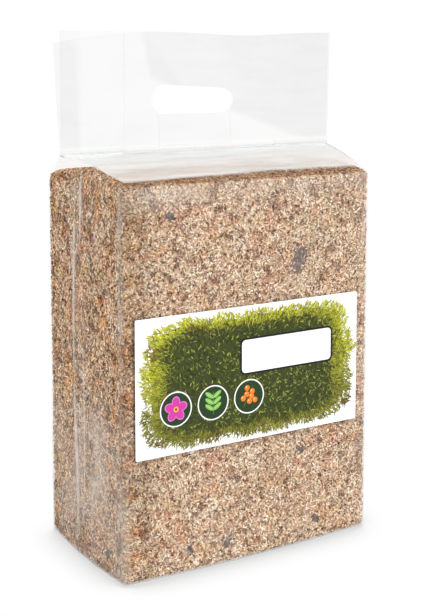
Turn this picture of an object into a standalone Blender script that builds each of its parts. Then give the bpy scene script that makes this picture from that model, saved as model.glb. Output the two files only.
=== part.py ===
"""A pressed bale of dried sphagnum moss in a clear carry bag with a label.

Metres, +Z up. The origin is on the floor under the middle of the bag. The front, with
the label, faces -Y. The bale is a rounded brick whose surface is covered with curled
strands, raised larger than life. Dark chips of bark lie in pockets in it. The bag is
one sheet of film: it wraps the brick, closes over it as a low tent and stands up as a
carry flap, whose side gussets are folded in between its two faces.
"""

import math
import random

import bpy
import numpy as np
from mathutils import Vector
from mathutils.geometry import delaunay_2d_cdt

# The brick of moss, measured over the crests of its strands
BALE_WIDTH = 0.246
BALE_DEPTH = 0.143
BALE_HEIGHT = 0.329
CORNER_RADIUS = 0.005
FOOT_RADIUS = 0.004
TOP_RADIUS = 0.005
CROWN = 0.0065
CROWN_Y = -0.002
CROWN_REACH = 0.064
CROWN_START = 0.8
SLUMP = 0.003

# How far the foot of each face bulges at its middle, and how high the bulge reaches
SIDE_SPREAD = 0.0045
FRONT_SPREAD = 0.005
SPREAD_HEIGHT = 0.09

# The strands, larger than life
STRAND_LENGTH = 0.026
STRAND_STEPS = 4
STRAND_CURL = 0.75
STRAND_GAP = 0.0074
HOLLOW_GAP = 0.0068
CREST = -0.0003
STRAND_END = -0.0016
HOLLOW = -0.0030
HEIGHT_SPREAD = 0.0005
SHORTEST = 0.75
LONGEST = 1.1
THROWS = 900000
EDGE_STEP = 0.0095
SEED = 7

# The film, and the gap between it and the brick
FILM = 0.0006
FILM_GAP = 0.0006
FLOOR_TO_BALE = FILM + FILM_GAP
FOLD_SOFTNESS = 0.02
FOLD_LIMIT = 1.5

# The carry flap, standing a little behind the middle
BACK_SPREAD = 0.005
FLAP_WIDTH = 0.271
FLAP_X = BACK_SPREAD / 2
FLAP_Y = 0.016
FLAP_BASE = 0.346
FLAP_TOP = 0.448
FLAP_WAVE = 0.0025
WAVE_LENGTH = 0.29
WAVE_START = 0.15
FLAP_DIP = 0.003
DIP_X = 0.045
DIP_WIDTH = 0.05
SPREAD_POWER = 3
GUSSET_DEPTH = 0.059
LAYER_PITCH = 0.0011
TENT_BULGE = 0.002

# The hand slot, and the tongue that its cut leaves hanging in front
SLOT_X = -0.0062
SLOT_Z = 0.3898
SLOT_WIDTH = 0.082
SLOT_HEIGHT = 0.0235
SLOT_LEAN = 0.0025
SLOT_ARC_STEPS = 8
CUTTER_REACH = 10
TONGUE_WIDTH = 0.074
TONGUE_LENGTH = 0.027
TONGUE_BEND = 0.012
TONGUE_RISE = 0.004
TONGUE_COLUMNS = 6
BEND_LAYER = -2.4
TONGUE_LAYER = -3.0

# The label, and the gap between it and the film
LABEL_WIDTH = 0.222
LABEL_HEIGHT = 0.1165
LABEL_X = -0.0025
LABEL_Z = 0.165
LABEL_THICKNESS = 0.0004
LABEL_GAP = 0.0006
LABEL_CORNER = 0.0015
LABEL_CORNER_STEPS = 3

# The bark chips: face, place along it, height above the floor, length, breadth, turn
CHIP_THICKNESS = 0.0016
CHIP_GAP = 0.00035
CHIP_SINK = 0.0004
CHIP_TAPER = 0.7
CHIP_SIDES = 7
CHIPS = (
    ("front", 0.048, 0.259, 0.020, 0.011, 1.2),
    ("front", 0.051, 0.087, 0.009, 0.006, 0.4),
    ("front", 0.066, 0.020, 0.008, 0.006, 2.5),
    ("front", -0.027, 0.019, 0.009, 0.006, 0.9),
    ("front", -0.063, 0.020, 0.008, 0.005, 1.9),
    ("front", -0.080, 0.304, 0.009, 0.006, 2.8),
    ("left", -0.045, 0.021, 0.009, 0.006, 0.6),
)

# Lengths along the rounded plan outline
STRAIGHT_X = BALE_WIDTH - 2 * CORNER_RADIUS
STRAIGHT_Y = BALE_DEPTH - 2 * CORNER_RADIUS
CORNER_RUN = math.pi / 2 * CORNER_RADIUS
AROUND = 2 * (STRAIGHT_X + STRAIGHT_Y) + 4 * CORNER_RUN

# Lengths up the side, from the foot's inner edge to the top's inner edge
FOOT_RUN = math.pi / 2 * FOOT_RADIUS
TOP_RUN = math.pi / 2 * TOP_RADIUS
UPRIGHT = BALE_HEIGHT - FOOT_RADIUS - TOP_RADIUS
UP = FOOT_RUN + UPRIGHT + TOP_RUN

# The flap's four layers: its front and back faces, and the gusset's two faces between
OUTER_LAYER = 1.5
GUSSET_LAYER = 0.5

# How many columns of points the film has along each stretch of its outline
FRONT_COLUMNS = 8
CORNER_COLUMNS = 3
GUSSET_COLUMNS = 3

# How many rows of points it has, and how far up the flap each row stands
CURVE_ROWS = 3
UPRIGHT_ROWS = 4
TENT_ROWS = (1 / 3, 2 / 3)
FLAP_ROWS = (0.0, 0.2, 0.45, 0.7, 1.0)

# The moss's colours: its shaded hollows, then the tones that its strands take in turn
MOSS_COLORS = (
    ("moss_hollow", (0.20, 0.13, 0.08)),
    ("moss_cream", (0.72, 0.55, 0.34)),
    ("moss_tan", (0.55, 0.36, 0.22)),
    ("moss_rust", (0.42, 0.23, 0.12)),
    ("moss_straw", (0.66, 0.52, 0.28)),
)


def clear_scene():
    for obj in list(bpy.data.objects):
        bpy.data.objects.remove(obj, do_unlink=True)


def make_material(name, color, roughness, alpha=1.0):
    material = bpy.data.materials.new(name)
    material.use_nodes = True
    shader = material.node_tree.nodes["Principled BSDF"]
    shader.inputs["Base Color"].default_value = (*color, 1.0)
    shader.inputs["Roughness"].default_value = roughness
    shader.inputs["Metallic"].default_value = 0.0
    shader.inputs["Alpha"].default_value = alpha
    return material


def make_object(name, points, faces, *materials):
    mesh = bpy.data.meshes.new(name)
    mesh.from_pydata(points, [], faces)
    for material in materials:
        mesh.materials.append(material)
    obj = bpy.data.objects.new(name, mesh)
    bpy.context.scene.collection.objects.link(obj)
    return obj


def make_helper(name, points, faces):
    """A shape that only cuts or joins another, and isn't itself part of the bag."""
    obj = make_object(name, points, faces)
    obj.hide_render = True
    obj.display_type = "WIRE"
    return obj


def crown(y):
    """How far the middle of the brick's top stands above its front edge."""
    return CROWN * (1 - ((y - CROWN_Y) / CROWN_REACH) ** 2)


def plan_point(run):
    """(x, y) and the outward direction on the plan outline, run metres on from the back
    left corner: down the left side, along the front, up the right side, along the back."""
    half_x, half_y = STRAIGHT_X / 2, STRAIGHT_Y / 2
    corners = ((-half_x, -half_y), (half_x, -half_y), (half_x, half_y), (-half_x, half_y))
    lengths = (STRAIGHT_Y, STRAIGHT_X, STRAIGHT_Y, STRAIGHT_X)
    run %= AROUND
    for side, (corner, length) in enumerate(zip(corners, lengths)):
        heading = math.pi + side * math.pi / 2
        if run <= length:
            out = Vector((math.cos(heading), math.sin(heading)))
            along = Vector((-out.y, out.x))
            return Vector(corner) + out * CORNER_RADIUS - along * (length - run), out
        run -= length
        if run <= CORNER_RUN:
            heading += run / CORNER_RADIUS
            out = Vector((math.cos(heading), math.sin(heading)))
            return Vector(corner) + out * CORNER_RADIUS, out
        run -= CORNER_RUN
    return plan_point(0.0)


def side_point(up):
    """(inset, height, share of the normal that is level, share that is upward) at a
    length up the side."""
    if up < FOOT_RUN:
        turn = up / FOOT_RADIUS
        inset = FOOT_RADIUS * (1 - math.sin(turn))
        return inset, FOOT_RADIUS * (1 - math.cos(turn)), math.sin(turn), -math.cos(turn)
    if up <= FOOT_RUN + UPRIGHT:
        return 0.0, FOOT_RADIUS + up - FOOT_RUN, 1.0, 0.0
    turn = (up - FOOT_RUN - UPRIGHT) / TOP_RADIUS
    inset = TOP_RADIUS * (1 - math.cos(turn))
    height = BALE_HEIGHT - TOP_RADIUS * (1 - math.sin(turn))
    return inset, height, math.cos(turn), math.sin(turn)


def spread(flat, height):
    """How far a point of the brick's foot is pushed out, most in the middle of a face."""
    share = max(0.0, 1 - height / SPREAD_HEIGHT) ** 2
    x, y = flat.x / (BALE_WIDTH / 2), flat.y / (BALE_DEPTH / 2)
    return share * Vector((SIDE_SPREAD * x * (1 - y * y), FRONT_SPREAD * y * (1 - x * x)))


def skin_point(run, up, raised):
    """The point on the brick's side, raised metres out of its surface. The brick is a
    little wider at its foot, and its top edge follows the crown."""
    flat, out = plan_point(run)
    inset, height, level, upward = side_point(up)
    flat = flat - out * inset
    flat *= 1 + SLUMP / BALE_WIDTH * (1 - 2 * height / BALE_HEIGHT)
    flat += spread(flat, height)
    near_top = max(0.0, (height / BALE_HEIGHT - CROWN_START) / (1 - CROWN_START))
    lift = crown(flat.y) * near_top * near_top * (3 - 2 * near_top)
    flat += out * level * raised
    return Vector((flat.x, flat.y, FLOOR_TO_BALE + height + lift + upward * raised))


class Spots:
    """Points on a plane, kept in squares so that near ones are found fast."""

    SQUARE = 0.01

    def __init__(self):
        self.squares = {}

    def add(self, x, y):
        square = (int(x // self.SQUARE), int(y // self.SQUARE))
        self.squares.setdefault(square, []).append((x, y))

    def near(self, x, y, distance):
        column, row = int(x // self.SQUARE), int(y // self.SQUARE)
        for i in (column - 1, column, column + 1):
            for j in (row - 1, row, row + 1):
                for other_x, other_y in self.squares.get((i, j), ()):
                    if (x - other_x) ** 2 + (y - other_y) ** 2 < distance**2:
                        return True
        return False


def curled_path(x, y, rng):
    """Points along one curled strand: its ends dip, and the rest of it is the crest."""
    heading = rng.uniform(0, 2 * math.pi)
    curl = rng.uniform(-STRAND_CURL, STRAND_CURL)
    step = STRAND_LENGTH * rng.uniform(SHORTEST, LONGEST) / STRAND_STEPS
    path = []
    for i in range(STRAND_STEPS + 1):
        raised = STRAND_END if i in (0, STRAND_STEPS) else CREST
        path.append((x, y, raised - rng.uniform(0, HEIGHT_SPREAD)))
        x += step * math.cos(heading)
        y += step * math.sin(heading)
        heading += curl
    return path


def strew(width, height, margin, pockets, rng):
    """Curled strands, thrown one by one on a flat field and kept apart, and the hollows
    between them. Returns the points as (x, y, raised, tone) and the edges along crests."""
    points, edges, spots = [], [], Spots()
    for outline in pockets:
        first = len(points)
        for i, (x, y) in enumerate(outline):
            points.append((x, y, -CHIP_SINK - CHIP_THICKNESS - CHIP_GAP, 0))
            edges.append((first + i, first + (i + 1) % CHIP_SIDES))
            spots.add(x, y)
        spots.add(*middle_of(outline))

    def fits(x, y, gap):
        inside = margin < x < width - margin and margin < y < height - margin
        return inside and not spots.near(x, y, gap)

    throws = int(width * height * THROWS)
    tones = len(MOSS_COLORS) - 1
    for _ in range(throws):
        path = curled_path(rng.uniform(0, width), rng.uniform(0, height), rng)
        tone = 1 + rng.randrange(tones)
        if all(fits(x, y, STRAND_GAP) for x, y, _ in path):
            first = len(points)
            edges += [(first + i, first + i + 1) for i in range(STRAND_STEPS)]
            points += [(x, y, raised, tone) for x, y, raised in path]
            for x, y, _ in path:
                spots.add(x, y)
    for _ in range(throws):
        x, y = rng.uniform(0, width), rng.uniform(0, height)
        if fits(x, y, HOLLOW_GAP):
            points.append((x, y, HOLLOW + rng.uniform(-HEIGHT_SPREAD, HEIGHT_SPREAD), 0))
            spots.add(x, y)
    return points, edges


def middle_of(outline):
    return tuple(sum(place[axis] for place in outline) / len(outline) for axis in (0, 1))


def triangulate(points, edges, rim):
    """Triangles over a field inside its rim, a closed list of point numbers."""
    flat = [Vector(point[:2]) for point in points]
    ring = [(rim[i - 1], rim[i]) for i in range(len(rim))]
    found = delaunay_2d_cdt(flat, edges + ring, [rim], 1, 1e-7, True)
    numbers = [origins[0] for origins in found[3]]
    return [tuple(numbers[corner] for corner in face) for face in found[2]]


def chip_outline(x, y, length, breadth, turn, grow, rng):
    """A rough outline, grown outward by a little."""
    outline = []
    for i in range(CHIP_SIDES):
        angle = 2 * math.pi * i / CHIP_SIDES
        reach = rng.uniform(0.85, 1.1)
        along = (length / 2 * reach + grow) * math.cos(angle)
        across = (breadth / 2 * reach + grow) * math.sin(angle)
        turned_x = along * math.cos(turn) - across * math.sin(turn)
        turned_y = along * math.sin(turn) + across * math.cos(turn)
        outline.append((x + turned_x, y + turned_y))
    return outline


def chip_outlines(grow):
    """Each chip's outline on the band of the brick's sides."""
    front_middle = STRAIGHT_Y + CORNER_RUN + STRAIGHT_X / 2
    found = []
    for number, (face, across, height, length, breadth, turn) in enumerate(CHIPS):
        run = front_middle + across if face == "front" else STRAIGHT_Y / 2 - across
        up = height - FLOOR_TO_BALE - FOOT_RADIUS + FOOT_RUN
        rng = random.Random(SEED + number)
        found.append(chip_outline(run, up, length, breadth, turn, grow, rng))
    return found


def side_band(rng):
    """The brick's four sides as one band that meets itself at a seam. Returns its field,
    its triangles and the numbers of the points on its lower and upper edges."""
    around, rows = round(AROUND / EDGE_STEP), round(UP / EDGE_STEP)
    field, edges = strew(AROUND, UP, STRAND_GAP / 2, chip_outlines(2 * CHIP_GAP), rng)
    first = len(field)
    field += [(AROUND * i / around, 0.0, STRAND_END, 0) for i in range(around + 1)]
    field += [(AROUND, UP * i / rows, STRAND_END, 0) for i in range(1, rows)]
    field += [(AROUND * i / around, UP, STRAND_END, 0) for i in range(around, -1, -1)]
    field += [(0.0, UP * i / rows, STRAND_END, 0) for i in range(rows - 1, 0, -1)]
    rim = list(range(first, len(field)))
    lower, upper = rim[: around + 1], rim[around + rows : 2 * around + rows + 1]
    same = {lower[-1]: lower[0], upper[0]: upper[-1]}
    for i in range(rows - 1):
        same[rim[around + 1 + i]] = rim[-1 - i]
    faces = [tuple(same.get(n, n) for n in face) for face in triangulate(field, edges, rim)]
    return field, faces, lower[:-1], upper[:0:-1]


def cap(ring, height_at, outward, rng):
    """The brick's top or bottom inside its ring of edge points. Returns the new points,
    their tones and the triangles, numbered with the ring first."""
    field, edges = strew(BALE_WIDTH, BALE_DEPTH, TOP_RADIUS + STRAND_GAP / 2, (), rng)
    shift = len(ring)
    edges = [(a + shift, b + shift) for a, b in edges]
    points = []
    for x, y, raised, _ in field:
        x, y = x - BALE_WIDTH / 2, y - BALE_DEPTH / 2
        points.append(Vector((x, y, height_at(y) + outward * raised)))
    faces = triangulate(ring + points, edges, list(range(shift)))
    if outward < 0:
        faces = [face[::-1] for face in faces]
    return points, [tone for _, _, _, tone in field], faces


def make_moss_block(materials):
    rng = random.Random(SEED)
    field, faces, lower, upper = side_band(rng)
    points = [skin_point(*place[:3]) for place in field]
    tones = [place[3] for place in field]
    top = FLOOR_TO_BALE + BALE_HEIGHT
    caps = (
        (upper, lambda y: top + crown(y), 1),
        (lower, lambda y: FLOOR_TO_BALE, -1),
    )
    for ring, height_at, outward in caps:
        added, cap_tones, cap_faces = cap([points[n] for n in ring], height_at, outward, rng)
        numbers = ring + list(range(len(points), len(points) + len(added)))
        points += added
        tones += cap_tones
        faces += [tuple(numbers[n] for n in face) for face in cap_faces]
    used = sorted({n for face in faces for n in face})
    order = {n: i for i, n in enumerate(used)}
    tidy_faces = [tuple(order[n] for n in face) for face in faces]
    block = make_object("moss_block", [points[n] for n in used], tidy_faces, *materials)
    for polygon, face in zip(block.data.polygons, faces):
        polygon.material_index = sorted(tones[n] for n in face)[1]


def make_bark_chips(material):
    """One loose chip in each pocket, its face level with the strands' crests."""
    levels = (
        (-CHIP_SINK - CHIP_THICKNESS, 1.0),
        (-2 * CHIP_SINK, 1.0),
        (-CHIP_SINK, CHIP_TAPER),
    )
    for number, outline in enumerate(chip_outlines(0.0)):
        middle = middle_of(outline)
        points = []
        for raised, shrink in levels:
            for place in outline:
                run, up = (m + (c - m) * shrink for c, m in zip(place, middle))
                points.append(skin_point(run, up, raised))
        make_object(f"bark_chip_{number + 1}", points, stack_faces(len(levels)), material)


def stack_faces(levels):
    """Faces of a solid made of outlines, one above the other, closed at both ends."""
    faces = [tuple(range(CHIP_SIDES))[::-1]]
    faces.append(tuple(range(CHIP_SIDES * (levels - 1), CHIP_SIDES * levels)))
    for level in range(levels - 1):
        faces += ring_faces(level * CHIP_SIDES, (level + 1) * CHIP_SIDES, CHIP_SIDES)
    return faces


def ring_faces(low, high, count):
    """Faces between two closed rings of points that start at numbers low and high."""
    pairs = [(i, (i + 1) % count) for i in range(count)]
    return [(low + i, low + j, high + j, high + i) for i, j in pairs]


def film_runs():
    """Where the film's columns of points stand along the plan outline. A side has two
    columns close together at its middle, which are the lips of its gusset's crease."""
    runs, start = [], 0.0
    for length in (STRAIGHT_Y, STRAIGHT_X, STRAIGHT_Y, STRAIGHT_X):
        if length == STRAIGHT_X:
            runs += [start + length * i / FRONT_COLUMNS for i in range(FRONT_COLUMNS + 1)]
        else:
            reach = (length - LAYER_PITCH) / 2
            half = [reach * i / GUSSET_COLUMNS for i in range(GUSSET_COLUMNS + 1)]
            runs += [start + step for step in half]
            runs += [start + length - step for step in half[::-1]]
        start += length
        runs += [start + CORNER_RUN * i / CORNER_COLUMNS for i in range(1, CORNER_COLUMNS)]
        start += CORNER_RUN
    return runs


def flap_plan():
    """(x, layer) of the film's columns in the flap. Its front and back faces are the
    outer layers, and the gusset's two faces lie between them."""
    edge = FLAP_WIDTH / 2
    near_edge = edge - CORNER_RUN / 2
    fold = edge - GUSSET_DEPTH
    side = [
        near_edge + (fold - near_edge) * i / GUSSET_COLUMNS for i in range(GUSSET_COLUMNS + 1)
    ]
    front = [near_edge * (2 * i / FRONT_COLUMNS - 1) for i in range(FRONT_COLUMNS + 1)]
    outer, folded = OUTER_LAYER, GUSSET_LAYER
    plan = [(-x, folded) for x in side] + [(-x, -folded) for x in side[::-1]]
    plan += [(-edge, -folded), (-edge, -outer)]
    plan += [(x, -outer) for x in front]
    plan += [(edge, -outer), (edge, -folded)]
    plan += [(x, -folded) for x in side] + [(x, folded) for x in side[::-1]]
    plan += [(edge, folded), (edge, outer)]
    plan += [(-x, outer) for x in front]
    plan += [(-edge, outer), (-edge, folded)]
    return plan


def flap_point(x, layer, share):
    """A point of the flap's sheet, share of the way from its base to its top edge. The
    back face spreads past the front one at the upper left and hangs lower there."""
    top = FLAP_TOP - FLAP_DIP * math.exp(-(((x - DIP_X) / DIP_WIDTH) ** 2))
    wave = FLAP_WAVE * share * math.sin(2 * math.pi * (x / WAVE_LENGTH + WAVE_START))
    if layer > 0:
        left_share = max(0.0, -x / (FLAP_WIDTH / 2)) ** SPREAD_POWER
        x -= BACK_SPREAD * left_share * share
        top -= 2 * BACK_SPREAD * left_share
    z = FLAP_BASE + (top - FLAP_BASE) * share
    return Vector((FLAP_X + x, FLAP_Y + layer * LAYER_PITCH + wave, z))


def thicken(points, faces, thickness):
    """The two skins of a sheet, each half the thickness from it. At a fold a corner
    moves so that every face around it keeps its thickness, as nearly as it can."""
    around = [[] for _ in points]
    for face in faces:
        corners = [np.array(points[n]) for n in face]
        if len(face) == 4:
            normal = np.cross(corners[2] - corners[0], corners[3] - corners[1])
        else:
            normal = np.cross(corners[1] - corners[0], corners[2] - corners[0])
        normal /= np.linalg.norm(normal)
        for n in face:
            around[n].append(normal)
    half = thickness / 2
    outer, inner = [], []
    for point, normals in zip(points, around):
        stack = np.array(normals)
        square = stack.T @ stack + FOLD_SOFTNESS * np.eye(3)
        shift = np.linalg.solve(square, stack.T @ np.full(len(stack), half))
        shift *= min(1.0, FOLD_LIMIT * half / np.linalg.norm(shift))
        outer.append(point + Vector(shift))
        inner.append(point - Vector(shift))
    return outer, inner


def film_sheet():
    """The film's middle surface as rings of points, from the floor to the flap's top."""
    half = FILM_GAP + FILM / 2
    runs = film_runs()
    curve = [i / CURVE_ROWS for i in range(CURVE_ROWS + 1)]
    ups = [FOOT_RUN * share for share in curve]
    ups += [FOOT_RUN + UPRIGHT * i / UPRIGHT_ROWS for i in range(1, UPRIGHT_ROWS)]
    ups += [FOOT_RUN + UPRIGHT + TOP_RUN * share for share in curve]
    rings = [[skin_point(run, up, half) for run in runs] for up in ups]
    plan = flap_plan()
    shoulder = rings[-1]
    base = [flap_point(x, layer, 0.0) for x, layer in plan]
    for share in TENT_ROWS:
        bulge = Vector((0, 0, TENT_BULGE * math.sin(math.pi * share)))
        rings.append([low.lerp(high, share) + bulge for low, high in zip(shoulder, base)])
    for share in FLAP_ROWS:
        rings.append([flap_point(x, layer, share) for x, layer in plan])
    return rings


def make_bag_film(material):
    """The film, closed under the brick and open only at the flap's top edge."""
    rings = film_sheet()
    columns, levels = len(rings[0]), len(rings)
    points = [point for ring in rings for point in ring]
    faces = [tuple(range(columns))[::-1]]
    for level in range(levels - 1):
        faces += ring_faces(level * columns, (level + 1) * columns, columns)
    outer, inner = thicken(points, faces, FILM)
    shift = len(points)
    faces += [tuple(n + shift for n in face[::-1]) for face in faces]
    mouth = (levels - 1) * columns
    faces += ring_faces(mouth, mouth + shift, columns)
    return make_object("bag_film", outer + inner, faces, material)


def make_slot_cutter():
    """The hand slot's outline, round at both ends and deeper at its left, drawn through
    the flap."""
    half, radius = SLOT_WIDTH / 2, SLOT_HEIGHT / 2
    outline = []
    for side, first in ((1, -math.pi / 2), (-1, math.pi / 2)):
        for i in range(SLOT_ARC_STEPS + 1):
            angle = first + math.pi * i / SLOT_ARC_STEPS
            x = side * (half - radius) + radius * math.cos(angle)
            z = radius * math.sin(angle)
            if z > 0:
                z -= SLOT_LEAN * x / half * z / radius
            outline.append((SLOT_X + x, SLOT_Z + z))
    count = len(outline)
    reach = CUTTER_REACH * LAYER_PITCH
    points = [(x, FLAP_Y + side * reach, z) for side in (-1, 1) for x, z in outline]
    faces = [tuple(range(count)), tuple(range(count, 2 * count))[::-1]]
    faces += [face[::-1] for face in ring_faces(0, count, count)]
    return make_helper("slot_cutter", points, faces)


def make_tongue():
    """The flap of film that was the slot, hanging from the slot's lower edge."""
    hinge_z = SLOT_Z - SLOT_HEIGHT / 2 - 2 * FILM
    tall = FLAP_TOP - FLAP_BASE
    hinge = (hinge_z - FLAP_BASE) / tall
    drop = TONGUE_LENGTH / tall
    path = ((-OUTER_LAYER, hinge), (BEND_LAYER, hinge + TONGUE_RISE))
    path += ((TONGUE_LAYER, hinge - TONGUE_BEND), (TONGUE_LAYER, hinge - drop))
    points, faces = [], []
    row = TONGUE_COLUMNS + 1
    for layer, share in path:
        for i in range(row):
            x = SLOT_X - FLAP_X + TONGUE_WIDTH * (i / TONGUE_COLUMNS - 0.5)
            points.append(flap_point(x, layer, share))
    for level in range(len(path) - 1):
        for i in range(TONGUE_COLUMNS):
            a = level * row + i
            faces.append((a, a + row, a + row + 1, a + 1))
    outer, inner = thicken(points, faces, FILM)
    shift = len(points)
    last = (len(path) - 1) * row
    rim = list(range(row)) + [TONGUE_COLUMNS + row * i for i in range(1, len(path))]
    rim += [last + i for i in range(TONGUE_COLUMNS - 1, -1, -1)]
    rim += [row * i for i in range(len(path) - 2, 0, -1)]
    faces += [tuple(n + shift for n in face[::-1]) for face in faces]
    for i, n in enumerate(rim):
        faces.append((rim[i - 1], n, n + shift, rim[i - 1] + shift))
    return make_helper("tongue", outer + inner, faces)


def finish_bag_film(bag):
    """Joins the tongue to the flap, then cuts the hand slot through it."""
    for name, operation, other in (
        ("tongue_joint", "UNION", make_tongue()),
        ("hand_slot", "DIFFERENCE", make_slot_cutter()),
    ):
        step = bag.modifiers.new(name, "BOOLEAN")
        step.operation = operation
        step.object = other


def make_label(material):
    """A flat card with small round corners on the bag's front."""
    face_y = -BALE_DEPTH / 2 - FLOOR_TO_BALE - LABEL_GAP
    half_x, half_z = LABEL_WIDTH / 2 - LABEL_CORNER, LABEL_HEIGHT / 2 - LABEL_CORNER
    outline = []
    for quarter, (side, rise) in enumerate(((1, 1), (-1, 1), (-1, -1), (1, -1))):
        for i in range(LABEL_CORNER_STEPS + 1):
            angle = math.pi / 2 * (quarter + i / LABEL_CORNER_STEPS)
            x = side * half_x + LABEL_CORNER * math.cos(angle)
            z = rise * half_z + LABEL_CORNER * math.sin(angle)
            outline.append((LABEL_X + x, LABEL_Z + z))
    count = len(outline)
    points = [(x, face_y - LABEL_THICKNESS * front, z) for front in (0, 1) for x, z in outline]
    faces = [tuple(range(count))[::-1], tuple(range(count, 2 * count))]
    faces += ring_faces(0, count, count)
    make_object("bag_label", points, faces, material)


def main():
    clear_scene()
    moss = [make_material(name, color, 0.95) for name, color in MOSS_COLORS]
    bark = make_material("dark_bark", (0.10, 0.07, 0.05), 0.9)
    film = make_material("clear_film", (0.92, 0.95, 0.95), 0.12, alpha=0.25)
    card = make_material("printed_label", (0.55, 0.62, 0.35), 0.35)
    make_moss_block(moss)
    make_bark_chips(bark)
    finish_bag_film(make_bag_film(film))
    make_label(card)


main()
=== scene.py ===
"""The looks of a pressed bale of dried sphagnum moss in a clear carry bag with a label.

Metres, in the CAD's frame. The front, with the label, faces -Y.
"""

import math

import bpy
import numpy as np
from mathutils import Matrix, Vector, noise


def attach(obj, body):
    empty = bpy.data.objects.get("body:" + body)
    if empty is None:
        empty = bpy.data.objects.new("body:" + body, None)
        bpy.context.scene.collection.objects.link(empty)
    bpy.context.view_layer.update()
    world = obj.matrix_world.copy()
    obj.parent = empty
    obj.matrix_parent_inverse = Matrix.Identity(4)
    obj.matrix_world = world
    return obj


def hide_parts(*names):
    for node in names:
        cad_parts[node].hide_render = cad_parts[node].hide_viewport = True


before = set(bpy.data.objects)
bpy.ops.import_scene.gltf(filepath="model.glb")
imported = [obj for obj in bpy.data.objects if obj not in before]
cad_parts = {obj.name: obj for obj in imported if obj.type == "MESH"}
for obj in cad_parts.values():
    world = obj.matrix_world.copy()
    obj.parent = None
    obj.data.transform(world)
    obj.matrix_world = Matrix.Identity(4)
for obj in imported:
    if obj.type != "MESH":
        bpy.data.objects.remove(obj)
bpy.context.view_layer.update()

# The photograph's frame, and the camera that took it
PHOTO_HEIGHT = 616
LONG_SENSOR = 36.0
FOCAL_PIXELS = 1185
AXIS_ABOVE_MIDDLE = 40
CAMERA_TURN = math.radians(-31.4)
CAMERA_RISE = math.radians(10.6)
CAMERA_TARGET = Vector((0.0011, -0.0007, 0.2428))
CAMERA_DISTANCE = 1.048

# The brick, as in the CAD
BALE_WIDTH = 0.246
BALE_DEPTH = 0.143
BALE_HEIGHT = 0.329
CORNER_RADIUS = 0.005
FOOT_RADIUS = 0.004
TOP_RADIUS = 0.005
CROWN = 0.0065
CROWN_Y = -0.002
CROWN_REACH = 0.064
CROWN_START = 0.8
SLUMP = 0.003
SIDE_SPREAD = 0.0045
FRONT_SPREAD = 0.005
SPREAD_HEIGHT = 0.09
FLOOR_TO_BALE = 0.0012

# The felt under the loose scraps
FELT_DEPTH = 0.0011
FELT_ROUND = 0.0018
FELT_PITCH = 0.0026
FELT_LUMP = 0.0005
FELT_LUMP_SIZE = 0.007

# The loose scraps: how many lie on a square metre, and how they lie
SCRAP_DENSITY = 385000
SCRAP_LIFT = (0.0001, 0.0009)
SCRAP_TILT = 0.10
SCRAP_ROLL = 0.28
SCRAP_SIZES = (0.75, 1.3)
LONG_SHARE = 0.03
# Their tones, from 0 to 1: the middle one, and the few scraps that are darker
MIDDLE_TONE = 0.60
EVEN_SPREAD = 0.2
DARK_SHARE = 0.08
DARK_TONE = 0.3
# The skin that presses them in, above the plain brick, and how softly it does
LID = 0.0003
LID_SOFTNESS = 0.0006
SEED = 11
# How far off a place may be when it is selected by, and what counts as no length
HAIR = 1e-5
NOTHING = 1e-9

# The bark chips, as in the CAD: face, place along it, height, length, breadth, turn
CHIPS = (
    ("front", 0.048, 0.259, 0.020, 0.011, 1.2),
    ("front", 0.051, 0.087, 0.009, 0.006, 0.4),
    ("front", 0.066, 0.020, 0.008, 0.006, 2.5),
    ("front", -0.027, 0.019, 0.009, 0.006, 0.9),
    ("front", -0.063, 0.020, 0.008, 0.005, 1.9),
    ("front", -0.080, 0.304, 0.009, 0.006, 2.8),
    ("left", -0.045, 0.021, 0.009, 0.006, 0.6),
)
# The flakes that replace them, thinner and with ragged rims that reach further out
CHIP_THICKNESS = 0.0008
CHIP_RAGGEDNESS = 1.3
CHIP_RELIEF = 0.0002
CHIP_DROOP = 0.0007
CLEAR_OF_CHIP = 0.8
CLEARED_SHARE = 0.88

# The bag's film, as in the CAD
FILM_LIFT = 0.0008
BACK_SPREAD = 0.005
FLAP_WIDTH = 0.271
FLAP_X = BACK_SPREAD / 2
FLAP_Y = 0.016
FLAP_BASE = 0.346
FLAP_TOP = 0.448
FLAP_WAVE = 0.0025
WAVE_LENGTH = 0.29
WAVE_START = 0.15
FLAP_DIP = 0.003
DIP_X = 0.045
DIP_WIDTH = 0.05
SPREAD_POWER = 3
GUSSET_DEPTH = 0.059
LAYER_PITCH = 0.0011
TENT_BULGE = 0.002
SLOT_X = -0.0062
SLOT_Z = 0.3898
SLOT_WIDTH = 0.082
SLOT_HEIGHT = 0.0235
SLOT_LEAN = 0.0025
TONGUE_WIDTH = 0.074
TONGUE_LENGTH = 0.027
FACE_LAYER = 1.5
GUSSET_LAYER = 0.5
# Finer than in the CAD: slack over the bale, pleats in the tent, and the tongue's hang,
# which is in layers of film
SLACK = 0.00035
FINE_SLACK = 0.0002
PLEAT_HEIGHT = 0.0011
TONGUE_FORWARD = 1.6
TONGUE_CURL = 0.5

# How finely the film is divided, and how its rows crowd together low in the tent
FRONT_COLUMNS = 84
CORNER_COLUMNS = 5
GUSSET_COLUMNS = 20
CURVE_ROWS = 3
UPRIGHT_ROWS = 90
TENT_ROWS = 22
TENT_CROWDING = 1.5
FLAP_ROWS = 36
TONGUE_COLUMNS = 40
TONGUE_ROWS = 16
SLOT_SNAP = (FLAP_TOP - FLAP_BASE) / FLAP_ROWS * 0.55

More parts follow.
